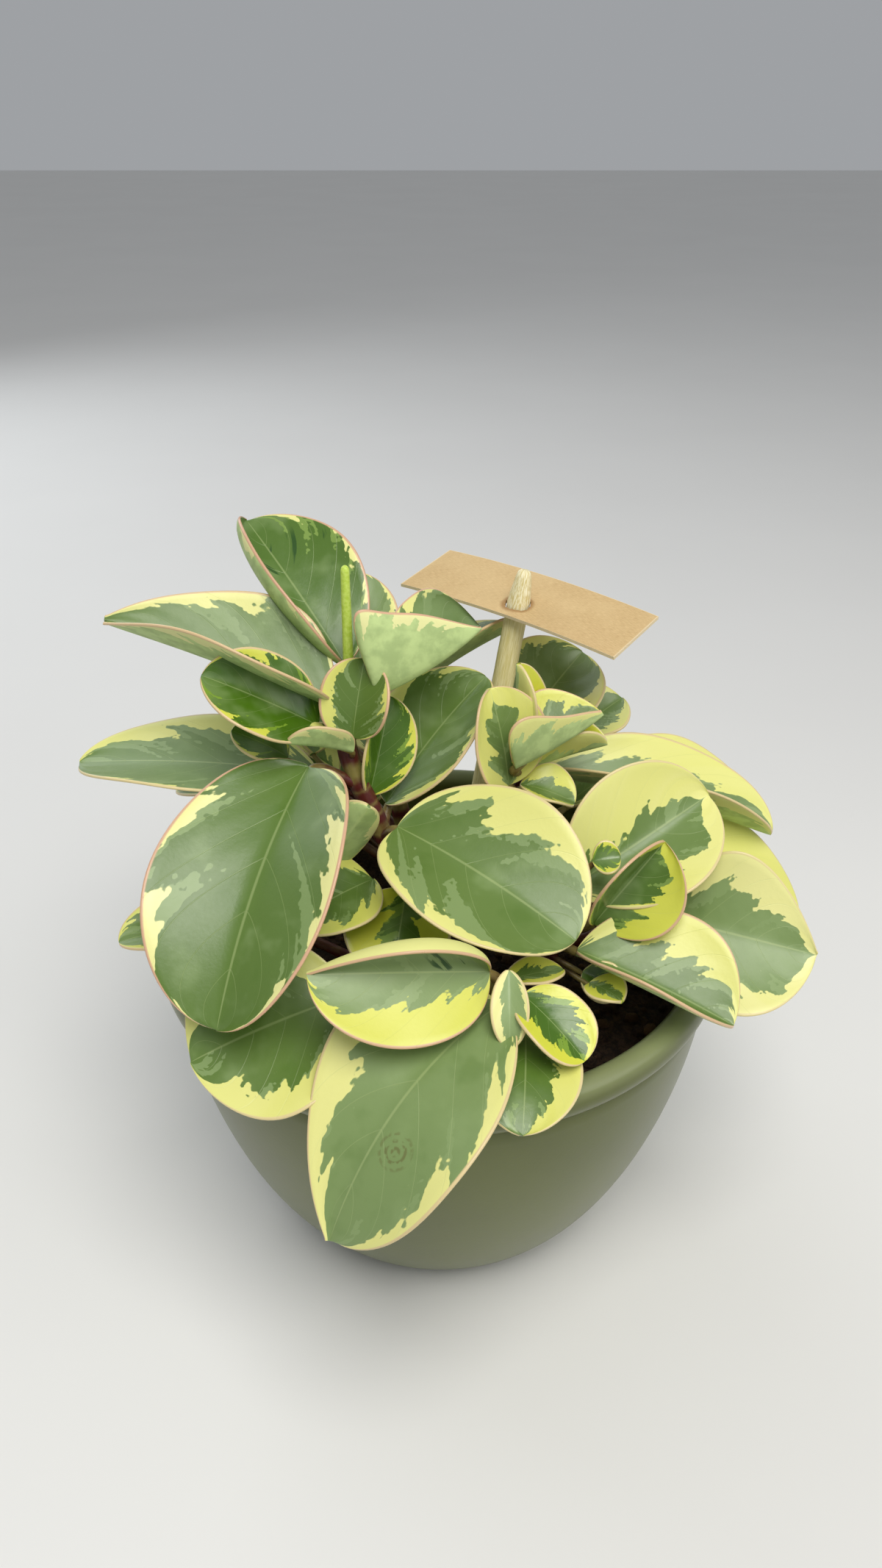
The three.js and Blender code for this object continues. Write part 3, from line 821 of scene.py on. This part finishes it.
def bezier(start, first, second, end, steps):
    shares = np.linspace(0, 1, steps + 1)[:, None]
    rest = 1 - shares
    return (rest ** 3 * start + 3 * rest ** 2 * shares * first
            + 3 * rest * shares ** 2 * second + shares ** 3 * end)


def add_petiole(parts, one, stem_curve):
    """The leaf's stalk leaves the stem below the leaf and runs on under the midrib, sunk into the blade.
    It gives back its place on the stem."""
    along, _, face, _ = leaf_axes(one)
    root = one.root

    def wanted(point):
        reach = math.hypot(point[0] - root[0], point[1] - root[1])
        return abs(root[2] - PETIOLE_DROP - PETIOLE_SLOPE * reach - point[2])

    start = min((p for p in stem_curve if p[2] > SOIL_TOP + LOWEST_PETIOLE), key=wanted)
    end = root + along * PETIOLE_SUNK + face * (one.arch * PETIOLE_SUNK * 4 - BLADE_THICKNESS)
    span = np.linalg.norm(root - start)
    away = root - start
    away[2] = PETIOLE_SLOPE * span
    first = start + unit(away) * span * PETIOLE_BENDS[0]
    second = root - along * span * PETIOLE_BENDS[1] - face * BLADE_THICKNESS / 2
    path = bezier(start, first, second, end, PETIOLE_STEPS)
    shares = np.linspace(0, 1, len(path))
    slim = PETIOLE_SLIM if one.width < SMALL_WIDTH else 1.0
    foot = PETIOLE_FOOT * np.exp(-(shares / PETIOLE_FOOT_REACH) ** 2)
    radii = PETIOLE_RADIUS * slim * (PETIOLE_START - PETIOLE_TAPER * shares + foot)
    radii[-len(PETIOLE_END):] *= PETIOLE_END
    zones = [(PETIOLE_GREEN[0] + PETIOLE_GREEN[1] * share, 0, 0, 0) for share in shares]
    tube(parts, path, radii, PETIOLE_SIDES, zones)
    return start


# ---- leafy stems ----

def stem(foot, path, leaves, fans=(), spike=None):
    """A leafy stem that leaves the soil at foot and runs through the points of path. A fan has what
    fan_leaves() takes after the stem's top, and a spike its root, tip and radius."""
    return SimpleNamespace(foot=foot, path=path, leaves=leaves, fans=fans, spike=spike)


STEMS = {}
STEMS["left"] = stem((-8, -2), [(-9, -2, 94), (-15, -3, 117), (-21, -2, 133), (-23, 3, 149)], [
    leaf([-22, 8, 153], [-47, 38, 177], 33, -15, 0.03, (0, 8), (118, 15), OVAL,
         1.1, 0.98, 0.3, 0.78, 0.9, strokes=0.65),
    leaf([-25, 0, 147], [-76, 8, 164], 36, 0, 0.02, (36, 45), 12, TAPERING, 0.8, 0.86, 0.3, 0.34, 0.6),
    leaf([-15, 0, 150], [9, 7, 163], 42, 0, -0.05, (16, 80), (15, 30), (LATE, BLUNT),
         0.95, 0.85, 0.3, 0.35, 0.9),
    leaf([-20, -3, 140], [-17, 3, 157], 19, 10, 0.04, (30, 15), 25, ROUND, 0.72, 0.86, 0.6, 0.5, 0.8),
    leaf([-28, -3, 143], [-52, -8, 158], 22, -40, 0.03, (12, 12), 18, OVAL, 0.95, 0.95, 0.9, 0.95, 0.5),
    leaf([-30, -8, 135], [-46, -57, 101], 45, 5, 0.08, (12, 16), 18, ROUND, 0.88, 0.95, 0.2, 0.6, 0.9),
    leaf([-29, 2, 127], [-86, 4, 129], 35, 0, 0.03, (5, 5), 15, OVAL, 1.0, 0.68, 0.45, 0.35, 0.3),
    leaf([-36, 0, 133], [-48, -2, 141], 13, -30, 0.05, (15, 15), 15, OVAL, 0.9, 0.8, 0.8, 0.9, 0.3),
    leaf([-30, 2, 133], [-34, 12, 136], 12, 20, 0.05, (15, 15), 15, OVAL, 0.8, 0.8, 0.6, 0.4, 0.3),
    leaf([-17, -2, 124], [-12, 8, 145], 17, 40, 0.03, (50, 10), 15, OVAL, 0.9, 0.85, 0.9, 0.9, 0.4),
    leaf([-13, 2, 119], [11, 18, 145], 31, 10, 0.05, (15, 15), 18, OVAL, 0.86, 0.84, 0.5, 0.5, 0.5),
    leaf([-20, -6, 139], [-34, -12, 144], 13, 0, 0.03, (55, 10), 15, OVAL, 0.8, 0.8, 0.5, 0.4, 0.5),
    leaf([-10, -10, 120], [29, -38, 109], 43, 17, 0.05, (14, 14), 18, ROUND, 0.66, 0.86, 0.42, 0.4, 0.3),
], spike=((-21, 4, 148), (-21, 6, 178), 1.3))
STEMS["back_left"] = stem((-10, 24), [(-10, 24, 96), (-13, 24, 118), (-17, 23, 142)], [
    leaf([-20, 22, 145], [-21, 38, 164], 19, 15, 0.04, (12, 12), 18, OVAL, 1.0, 1.0, 0.3, 0.3, 0.7),
    leaf([-12, 28, 133], [20, 41, 149], 30, -25, 0.04, (12, 12), 18, OVAL, 0.9, 0.8, 0.5, 0.45, 0.6),
], fans=[((96, 165), 6, 95, 11), ((100, 130), 2, 112, 3)])
STEMS["right"] = stem((12, 4), [(13, 5, 96), (18, 7, 114), (20, 8, 125)], [
    leaf([16, 3, 124], [11, 4, 149], 22, -50, 0.05, (20, 5), 25, ROUND, 0.45, 0.5, 0.55, 0.3, 0.6, 0.9),
    leaf([17, 0, 131], [38, 7, 141], 26, 0, -0.03, (38, 75), 12, (OVAL, BLUNT), 0.6, 0.7, 0.8, 0.4, 0.7),
    leaf([19, 4, 123], [32, 2, 119], 15, 10, 0.06, (20, 20), 18, OVAL, 0.5, 0.6, 0.8, 0.5, 0.3),
    leaf([19, 10, 124], [18, 11, 152], 16, 0, 0.02, (70, 10), 15, OVAL, 0.3, 0.35, 1.0, 0.95, 0.3),
    leaf([22, 9, 126], [40, 9, 132], 17, 0, 0.03, (45, 55), 15, OVAL, 0.3, 0.35, 1.0, 0.9, 0.3),
    leaf([26, 19, 118], [85, 15, 102], 31, 8, 0.04, (30, 48), 12, OVAL, 0.55, 0.7, 0.5, 0.3, 0.4),
])
STEMS["back_right"] = stem((16, 28), [(18, 28, 96), (21, 28, 115), (22, 27, 124)], [
    leaf([20, 28, 124], [37, 43, 140], 31, 20, 0.04, (14, 14), 18, OVAL, 0.8, 0.8, 0.5, 0.35, 0.3),
    leaf([36, 34, 121], [48, 40, 128], 19, 20, 0.04, (14, 14), 18, OVAL, 0.6, 0.6, 0.5, 0.35, 0.3),
    leaf([47, 42, 111], [84, 36, 98], 22, 5, 0.05, (10, 14), 18, OVAL, 0.5, 0.6, 0.45, 0.3, 0.3),
], fans=[((44, 92), 4, 95, 5)])
STEMS["front_right"] = stem((26, -12), [(27, -14, 90), (30, -20, 103), (32, -21, 115)], [
    leaf([30, -17, 108], [63, -2, 124], 36, 45, 0.05, (15, 25), 18, OVAL,
         0.3, 0.66, 0.35, 0.35, 0.3, 0.98),
    leaf([35, -24, 103], [50, -20, 123], 28, 50, 0.03, (74, 0), (12, 30), OVAL,
         0.9, 0.5, 0.9, 0.75, 0.8, 0.98),
    leaf([53, -18, 100], [86, -28, 97], 38, 48, 0.02, (10, 10), 18, (TAPERING, OVAL),
         0.55, 0.75, 0.2, 0.22, 0.2, 1.02),
    leaf([31, -29, 99], [64, -45, 91], 36, 20, 0.04, (15, 56), 12, OVAL, 0.55, 0.9, 0.45, 0.4, 0.7),
    leaf([33, -38, 97], [39, -46, 99], 9, 10, 0.05, (15, 15), 15, OVAL, 0.4, 0.4, 0.9, 0.5, 0.3),
    leaf([34, -22, 119], [40, -22, 120], 8, 40, 0.05, (15, 15), 15, OVAL, 0.8, 0.8, 0.9, 0.9, 0.3),
    leaf([32, -33, 96], [40, -37, 93], 10, 30, 0.05, (15, 15), 15, OVAL, 0.9, 0.9, 0.5, 0.9, 0.3),
    leaf([48, 7, 103], [91, 0, 85], 31, 0, 0.12, (10, 12), 18, OVAL, 0.35, 0.4, 0.55, 0.4, 0.2),
])
STEMS["front"] = stem((8, -29), [(9, -32, 89), (12, -42, 99), (14, -45, 103)], [
    leaf([10, -48, 109], [-27, -56, 115], 31, -45, 0.03, (6, 0), (15, 150), (ROUND, TAPERING),
         0.55, 0.5, 0.8, 0.2, 0.8, strokes=0.2),
    leaf([13, -50, 102], [-22, -84, 70], 42, 2, 0.15, (-8, 12), 18, (OVAL, TAPERING),
         0.85, 0.6, 0.35, 0.2, 0.4, scarred=True),
    leaf([14, -50, 111], [14, -61, 100], 8, 0, 0.05, (15, 15), 15, OVAL, 0.8, 0.45, 0.15, 0.0, 0.3),
    leaf([17, -51, 105], [29, -63, 98], 16, 5, 0.06, (12, 12), 18, ROUND,
         0.65, 0.6, 1.0, 0.95, 0.4, 1.05),
    leaf([14, -42, 101], [27, -37, 100], 9, 0, 0.03, (10, 10), 15, OVAL, 0.5, 0.5, 0.9, 0.6, 0.4),
    leaf([18, -49, 95], [16, -76, 91], 23, -5, 0.1, (0, 0), 18, OVAL, 0.5, 1.0, 0.6, 0.65, 0.3),
])
STEMS["front_left"] = stem((-16, -14), [(-17, -15, 86), (-18, -18, 97), (-18, -17, 107)], [
    leaf([-8, -12, 104], [-11, -32, 92], 26, 0, 0.05, (12, 12), 18, OVAL, 0.4, 0.35, 1.0, 0.8, 0.3),
    leaf([-16, -14, 108], [-34, -30, 107], 24, -20, 0.05, (12, 12), 18, OVAL, 0.6, 0.6, 0.7, 0.6, 0.3),
    leaf([-20, -42, 97], [-53, -55, 90], 42, -25, 0.06, (0, 4), 15, OVAL, 0.66, 0.6, 0.45, 0.5, 0.3),
    leaf([-48, -8, 90], [-76, -20, 94], 20, -10, 0.06, (12, 12), 18, OVAL, 0.75, 0.7, 0.7, 0.6, 0.5),
    leaf([-28, -14, 110], [-16, -18, 131], 13, -70, 0.04, (15, 15), 18, OVAL, 0.8, 0.8, 0.4, 0.3, 0.3),
])


def seeded_random(seed):
    """The same small generator as the CAD source uses, so that the far leaves lie alike."""
    state = seed * SEED_SPREAD
    while True:
        state = (state * RANDOM_FACTOR) % RANDOM_MODULUS
        yield state / RANDOM_MODULUS


def fan_leaves(top, headings, count, low_height, seed):
    """Leaves on the far side fan out from the stem between two headings in degrees, over the lip. They
    lie low and high by turns."""
    draws = seeded_random(seed)

    def jitter(size):
        return size * (2 * next(draws) - 1)

    low, high = headings
    made = []
    for k in range(count):
        heading = math.radians(low + (high - low) * k / (count - 1) + jitter(FAN_JITTER))
        length = FAN_LENGTHS[0] + (FAN_LENGTHS[1] - FAN_LENGTHS[0]) * next(draws)
        height = low_height + FAN_STEP * (k % 2)
        out = (math.cos(heading), math.sin(heading))
        root = (top[0] + FAN_REACH * out[0], top[1] + FAN_REACH * out[1], height)
        tip = (root[0] + length * out[0], root[1] + length * out[1], height + jitter(FAN_DROOP))
        looks = [first + step * (k % turns) for first, step, turns in FAN_LOOKS]
        shape = (FAN_WIDTH_SHARE * length, jitter(FAN_ROLL), FAN_ARCH, FAN_FOLD, FAN_CUP, OVAL)
        made.append(leaf(root, tip, *shape, *looks))
    return made


def add_stem(parts, curve, nodes):
    """The stem, a little swollen and maroon where each petiole leaves it, and tapered to its top."""
    radii = []
    zones = []
    for index, place in enumerate(curve):
        nearest = min(np.linalg.norm(place - node) for node in nodes)
        swell = NODE_SWELL * math.exp(-(nearest / NODE_REACH) ** 2)
        above = max(0.0, index / (len(curve) - 1) - STEM_TAPER_FROM) / (1 - STEM_TAPER_FROM)
        radii.append(STEM_RADIUS * (STEM_SLIM + swell) * (1 - STEM_TAPER * above))
        zones.append((STEM_GREEN - NODE_MAROON * math.exp(-(nearest / MAROON_REACH) ** 2), 0, 0, 0))
    tube(parts, curve, radii, STEM_SIDES, zones)


def add_spike(parts, root, tip, radius):
    """A slender spike that narrows a little and ends round."""
    root, tip = np.array(root, float), np.array(tip, float)
    shares = np.sin(np.linspace(0.0, math.pi / 2, SPIKE_STEPS))
    path = root + (tip - root) * shares[:, None]
    left = np.maximum(0.0, 1 - shares) * np.linalg.norm(tip - root)
    round_end = np.sqrt(np.clip(1 - (1 - np.minimum(left / radius, 1)) ** 2, SPIKE_LEAST_END, 1))
    radii = radius * round_end * (1 - SPIKE_TAPER * shares)
    tube(parts, path, radii, SPIKE_SIDES, [(0, 0, 0, 0)] * len(path))


def make_leafy_stem(where, number, materials):
    one = STEMS[where]
    x, y = one.foot
    curve = catmull([(x, y, SOIL_TOP - PLANTING_DEPTH), (x, y, SOIL_TOP), *one.path], STEM_SAMPLES)
    leaves = list(one.leaves)
    for fan in one.fans:
        leaves.extend(fan_leaves(one.path[-1], *fan))
    blades, stalks, spike = Parts(), Parts(), Parts()
    starts = []
    for index, row in enumerate(leaves):
        seed = (SEED_STEPS[0] * index + SEED_STEPS[1] * number) % 1
        add_leaf(blades, row, index * WAVE_PHASE_STEP, seed)
        starts.append(add_petiole(stalks, row, curve))
    add_stem(stalks, curve, starts)
    blades.build("leaves_" + where, "foliage", "leafy_stem_" + where, materials["blades"])
    stalks.build("stalks_" + where, "foliage", "leafy_stem_" + where, materials["stalks"])
    if one.spike:
        add_spike(spike, *one.spike)
        spike.build("flower_spike", "foliage", "leafy_stem_" + where, materials["spike"])


# ---- pot and soil ----

def wall_radius(share):
    turn = (1 - (1 - share) ** WALL_RISE) ** (1 / WALL_BULGE)
    return BASE_RADIUS + (SHOULDER_RADIUS - BASE_RADIUS) * turn


def inner_wall(share):
    height = FLOOR_THICKNESS + share * (POT_HEIGHT - LIP_HEIGHT - FLOOR_THICKNESS)
    return wall_radius(share) - WALL_THICKNESS, height


def smooth_line(points, steps):
    """A finer line through a few points of a profile."""
    return [(float(p[0]), float(p[1])) for p in catmull([(r, h, 0) for r, h in points], steps)]


def make_pot(material):
    shoulder = POT_HEIGHT - LIP_HEIGHT
    shares = [(step / WALL_STEPS) ** 2 for step in range(WALL_STEPS + 1)]
    outer = [(wall_radius(share), share * shoulder) for share in shares]
    groove = (SHOULDER_RADIUS - GROOVE_DEPTH, shoulder + GROOVE_HEIGHT)
    lip = [groove] + [(LIP_RADIUS - inset, shoulder + rise) for inset, rise in LIP_PROFILE]
    inner = [inner_wall(share) for share in reversed(shares)]
    profile = [(0, 0), *outer, *smooth_line(lip + inner[:1], LIP_STEPS)[:-1], *inner, (0, FLOOR_THICKNESS)]
    parts = Parts()
    turned(parts, profile, POT_SIDES)
    parts.build("glazed_pot", "glaze", "pot", [material])


def soil_height(x, y, z):
    """Crumbly relief on the top of the soil, and none on its sides."""
    rough = noise.fractal(Vector((x, y, 0)) * SOIL_WAVES, *SOIL_FRACTAL)
    return (x, y, z + SOIL_ROUGHNESS * rough)


def add_clod(parts, place, radius, squash, shade, shift):
    """A small irregular lump on the soil."""
    turns = [math.pi * ring / CLOD_RINGS for ring in range(1, CLOD_RINGS)]
    profile = [(0, -1), *((math.sin(turn), -math.cos(turn)) for turn in turns), (0, 1)]

    def shaped(x, y, z):
        lump = noise.noise(Vector((x, y, z)) * CLOD_WAVES + Vector((shift, 0, 0)))
        bulge = radius * (1 + CLOD_BULGE * lump)
        return (place[0] + x * bulge, place[1] + y * bulge * squash, place[2] + z * bulge * CLOD_FLATNESS)

    turned(parts, profile, CLOD_SIDES, (shade, 0, 0, 0), shaped)


def make_soil(material):
    soil_share = (SOIL_TOP - FLOOR_THICKNESS) / (POT_HEIGHT - LIP_HEIGHT - FLOOR_THICKNESS)
    shares = [soil_share * (step / SOIL_WALL_STEPS) ** 2 for step in range(SOIL_WALL_STEPS + 1)]
    wall = [(radius - GAP, height + GAP) for radius, height in map(inner_wall, shares)]
    edge_radius, edge_height = wall[-1]

    def dome(share):
        return edge_height + SOIL_DOME * (1 - share * share)

    rings = [ring / SOIL_RINGS for ring in reversed(range(SOIL_RINGS))]
    top = [(edge_radius * share, dome(share)) for share in rings]
    parts = Parts()
    turned(parts, [(0, wall[0][1]), *wall, *top], SOIL_SIDES,
           lift=lambda x, y, z: soil_height(x, y, z) if z > edge_height + TINY else (x, y, z))
    draws = random.Random(CLOD_SEED)
    for _ in range(CLODS):
        reach = (edge_radius - CLOD_MARGIN) * math.sqrt(draws.random())
        angle = 2 * math.pi * draws.random()
        x, y = reach * math.cos(angle), reach * math.sin(angle)
        radius = CLOD_RADII[0] + (CLOD_RADII[1] - CLOD_RADII[0]) * draws.random() ** FEW_LARGE
        shade = CLOD_SHADE * draws.random() ** FEW_PALE
        place = soil_height(x, y, dome(reach / edge_radius) + CLOD_LIFT * radius)
        squash = CLOD_SQUASH + (1 - CLOD_SQUASH) * draws.random()
        add_clod(parts, place, radius, squash, shade, CLOD_SHIFT * draws.random())
    parts.build("potting_soil", "soil", "soil", [material])


# ---- plant marker ----

STICK_DIRECTION = unit(np.array([*STICK_LEAN, 1.0]))
STICK_BASE = np.array([*STICK_FOOT, SOIL_TOP]) - PLANTING_DEPTH * STICK_DIRECTION


def make_stick(material):
    """A round stick, a little uneven, that tapers to a blunt head."""
    length = (STICK_TOP - STICK_BASE[2]) / STICK_DIRECTION[2]
    shaft = length - STICK_HEAD[0][1]
    heights = [*np.linspace(0, shaft, STICK_STEPS), *(length - below for _, below in STICK_HEAD[1:])]
    insets = [0] * STICK_STEPS + [inset for inset, _ in STICK_HEAD[1:]]
    radii = [STICK_RADIUS - inset - STICK_UNEVEN * abs(math.sin(STICK_WAVE * k))
             for k, inset in enumerate(insets)]
    path = [STICK_BASE + STICK_DIRECTION * height for height in heights]
    parts = Parts()
    zones = [(float(height > shaft - FRAYED_LENGTH), 0, 0, 0) for height in heights]
    tube(parts, path, radii, STICK_SIDES, zones)
    parts.build("bamboo_stick", "bamboo", "marker_stick", [material])


def card_place(x, y, z):
    """A point of the flat card as it lies: sagging a little, pushed over the stick and turned."""
    share = x / (CARD_SIZE[0] / 2)
    place = Vector((x - CARD_HOLE_AT[0], y - CARD_HOLE_AT[1], z - CARD_SAG * share * share))
    turn = Matrix.Identity(3)
    for degrees, axis in ((CARD_TURN, "Z"), (CARD_TILT, "X"), (CARD_DIP, "Y")):
        turn = turn @ Matrix.Rotation(math.radians(degrees), 3, axis)
    rise = (CARD_HEIGHT - STICK_BASE[2]) / STICK_DIRECTION[2]
    return np.array(turn @ place) + STICK_BASE + STICK_DIRECTION * rise


def make_card(material):
    """Rays run from the torn hole to the card's edge, on both faces. Paper is pushed up round the hole."""
    width, depth, thickness = CARD_SIZE
    hole = np.array(CARD_HOLE_AT)
    halves = np.array([width, depth]) / 2
    corners = [math.atan2(*(halves * signs - hole)[::-1]) for signs in ((-1, -1), (-1, 1), (1, -1), (1, 1))]
    rays = [2 * math.pi * k / CARD_RAYS - math.pi + CARD_RAY_SHIFT for k in range(CARD_RAYS)]
    angles = sorted(rays + corners)
    rings = range(CARD_RINGS + 1)
    loops = [(ring, 1) for ring in rings] + [(ring, -1) for ring in reversed(rings)]
    points = []
    uvs = []
    zones = []
    for ring, side in loops:
        share = CARD_EDGE_RING if ring == CARD_RINGS - 1 else (ring / CARD_RINGS) ** TOWARDS_HOLE
        for angle in angles:
            ray = np.array([math.cos(angle), math.sin(angle)])
            limits = [(math.copysign(half, part) - start) / part
                      for half, part, start in zip(halves, ray, hole) if abs(part) > NO_LENGTH]
            ragged = RAGGED * math.sin(RAGGED_WAVES[0] * angle) * math.sin(RAGGED_WAVES[1] * angle + 1)
            inner = STICK_RADIUS + GAP + ragged
            reach = inner + (min(limits) - inner) * share
            x, y = hole + ray * reach
            near = math.exp(-((reach - STICK_RADIUS) / TORN_REACH) ** 2)
            lift = CARD_TORN * near * (1 - TORN_UNEVEN + TORN_UNEVEN * math.sin(TORN_WAVES * angle))
            points.append(card_place(x, y, side * thickness / 2 + lift))
            uvs.append((x / UV_LENGTH, y / UV_LENGTH))
            zones.append((1.0 if ring == CARD_RINGS else 0.0, near, 0, 0))
    parts = Parts()
    parts.add(points, ring_quads(len(loops), len(angles), closed=True), uvs, zones)
    card = parts.build("kraft_card", "kraft", "marker_card", [material])
    card.data.set_sharp_from_angle(angle=math.radians(SHARP_EDGE))


# ---- floor, light and camera ----

def make_floor(material):
    mesh = bpy.data.meshes.new("floor")
    corners = [(FLOOR_REACH * x, FLOOR_REACH * y, 0) for x, y in ((-1, -1), (1, -1), (1, 1), (-1, 1))]
    mesh.from_pydata(corners, [], [(0, 1, 2, 3)])
    mesh.materials.append(material)
    floor = placed("floor", mesh)


def make_light(name, place, size, power, colour):
    light = bpy.data.lights.new(name, "AREA")
    light.shape = "DISK"
    light.size = size
    light.energy = power
    light.color = colour
    lamp = placed(name, light)
    lamp.location = place
    lamp.rotation_euler = (Vector(LIGHTS_AIM) - Vector(place)).to_track_quat("-Z", "Y").to_euler()


def make_world():
    world = bpy.data.worlds.new("studio")
    world.use_nodes = True
    background = world.node_tree.nodes["Background"]
    background.inputs["Color"].default_value = WORLD_COLOUR
    background.inputs["Strength"].default_value = WORLD_STRENGTH
    bpy.context.scene.world = world


def make_camera():
    camera = bpy.data.cameras.new("camera")
    camera.lens = CAMERA_LENS
    camera.clip_start = CAMERA_CLIP_START
    holder = placed("camera", camera)
    holder.location = CAMERA_PLACE
    holder.rotation_euler = (math.radians(CAMERA_PITCH), 0, 0)
    bpy.context.scene.camera = holder


bpy.context.scene.view_settings.view_transform = "Standard"
# add_leaf gives a face the number of its material in this list.
blade_materials = [leaf_upper(), leaf_under(), leaf_upper("leaf_scarred", scarred=True)]
foliage_materials = {
    "blades": blade_materials, "stalks": [stalk_material()], "spike": [spike_material()],
}
make_camera()
make_world()
for light_row in LIGHTS:
    make_light(*light_row)
make_floor(floor_material())
make_pot(glaze_material())
make_soil(soil_material())
for stem_number, stem_name in enumerate(STEMS):
    make_leafy_stem(stem_name, stem_number, foliage_materials)
make_stick(bamboo_material())
make_card(kraft_material())
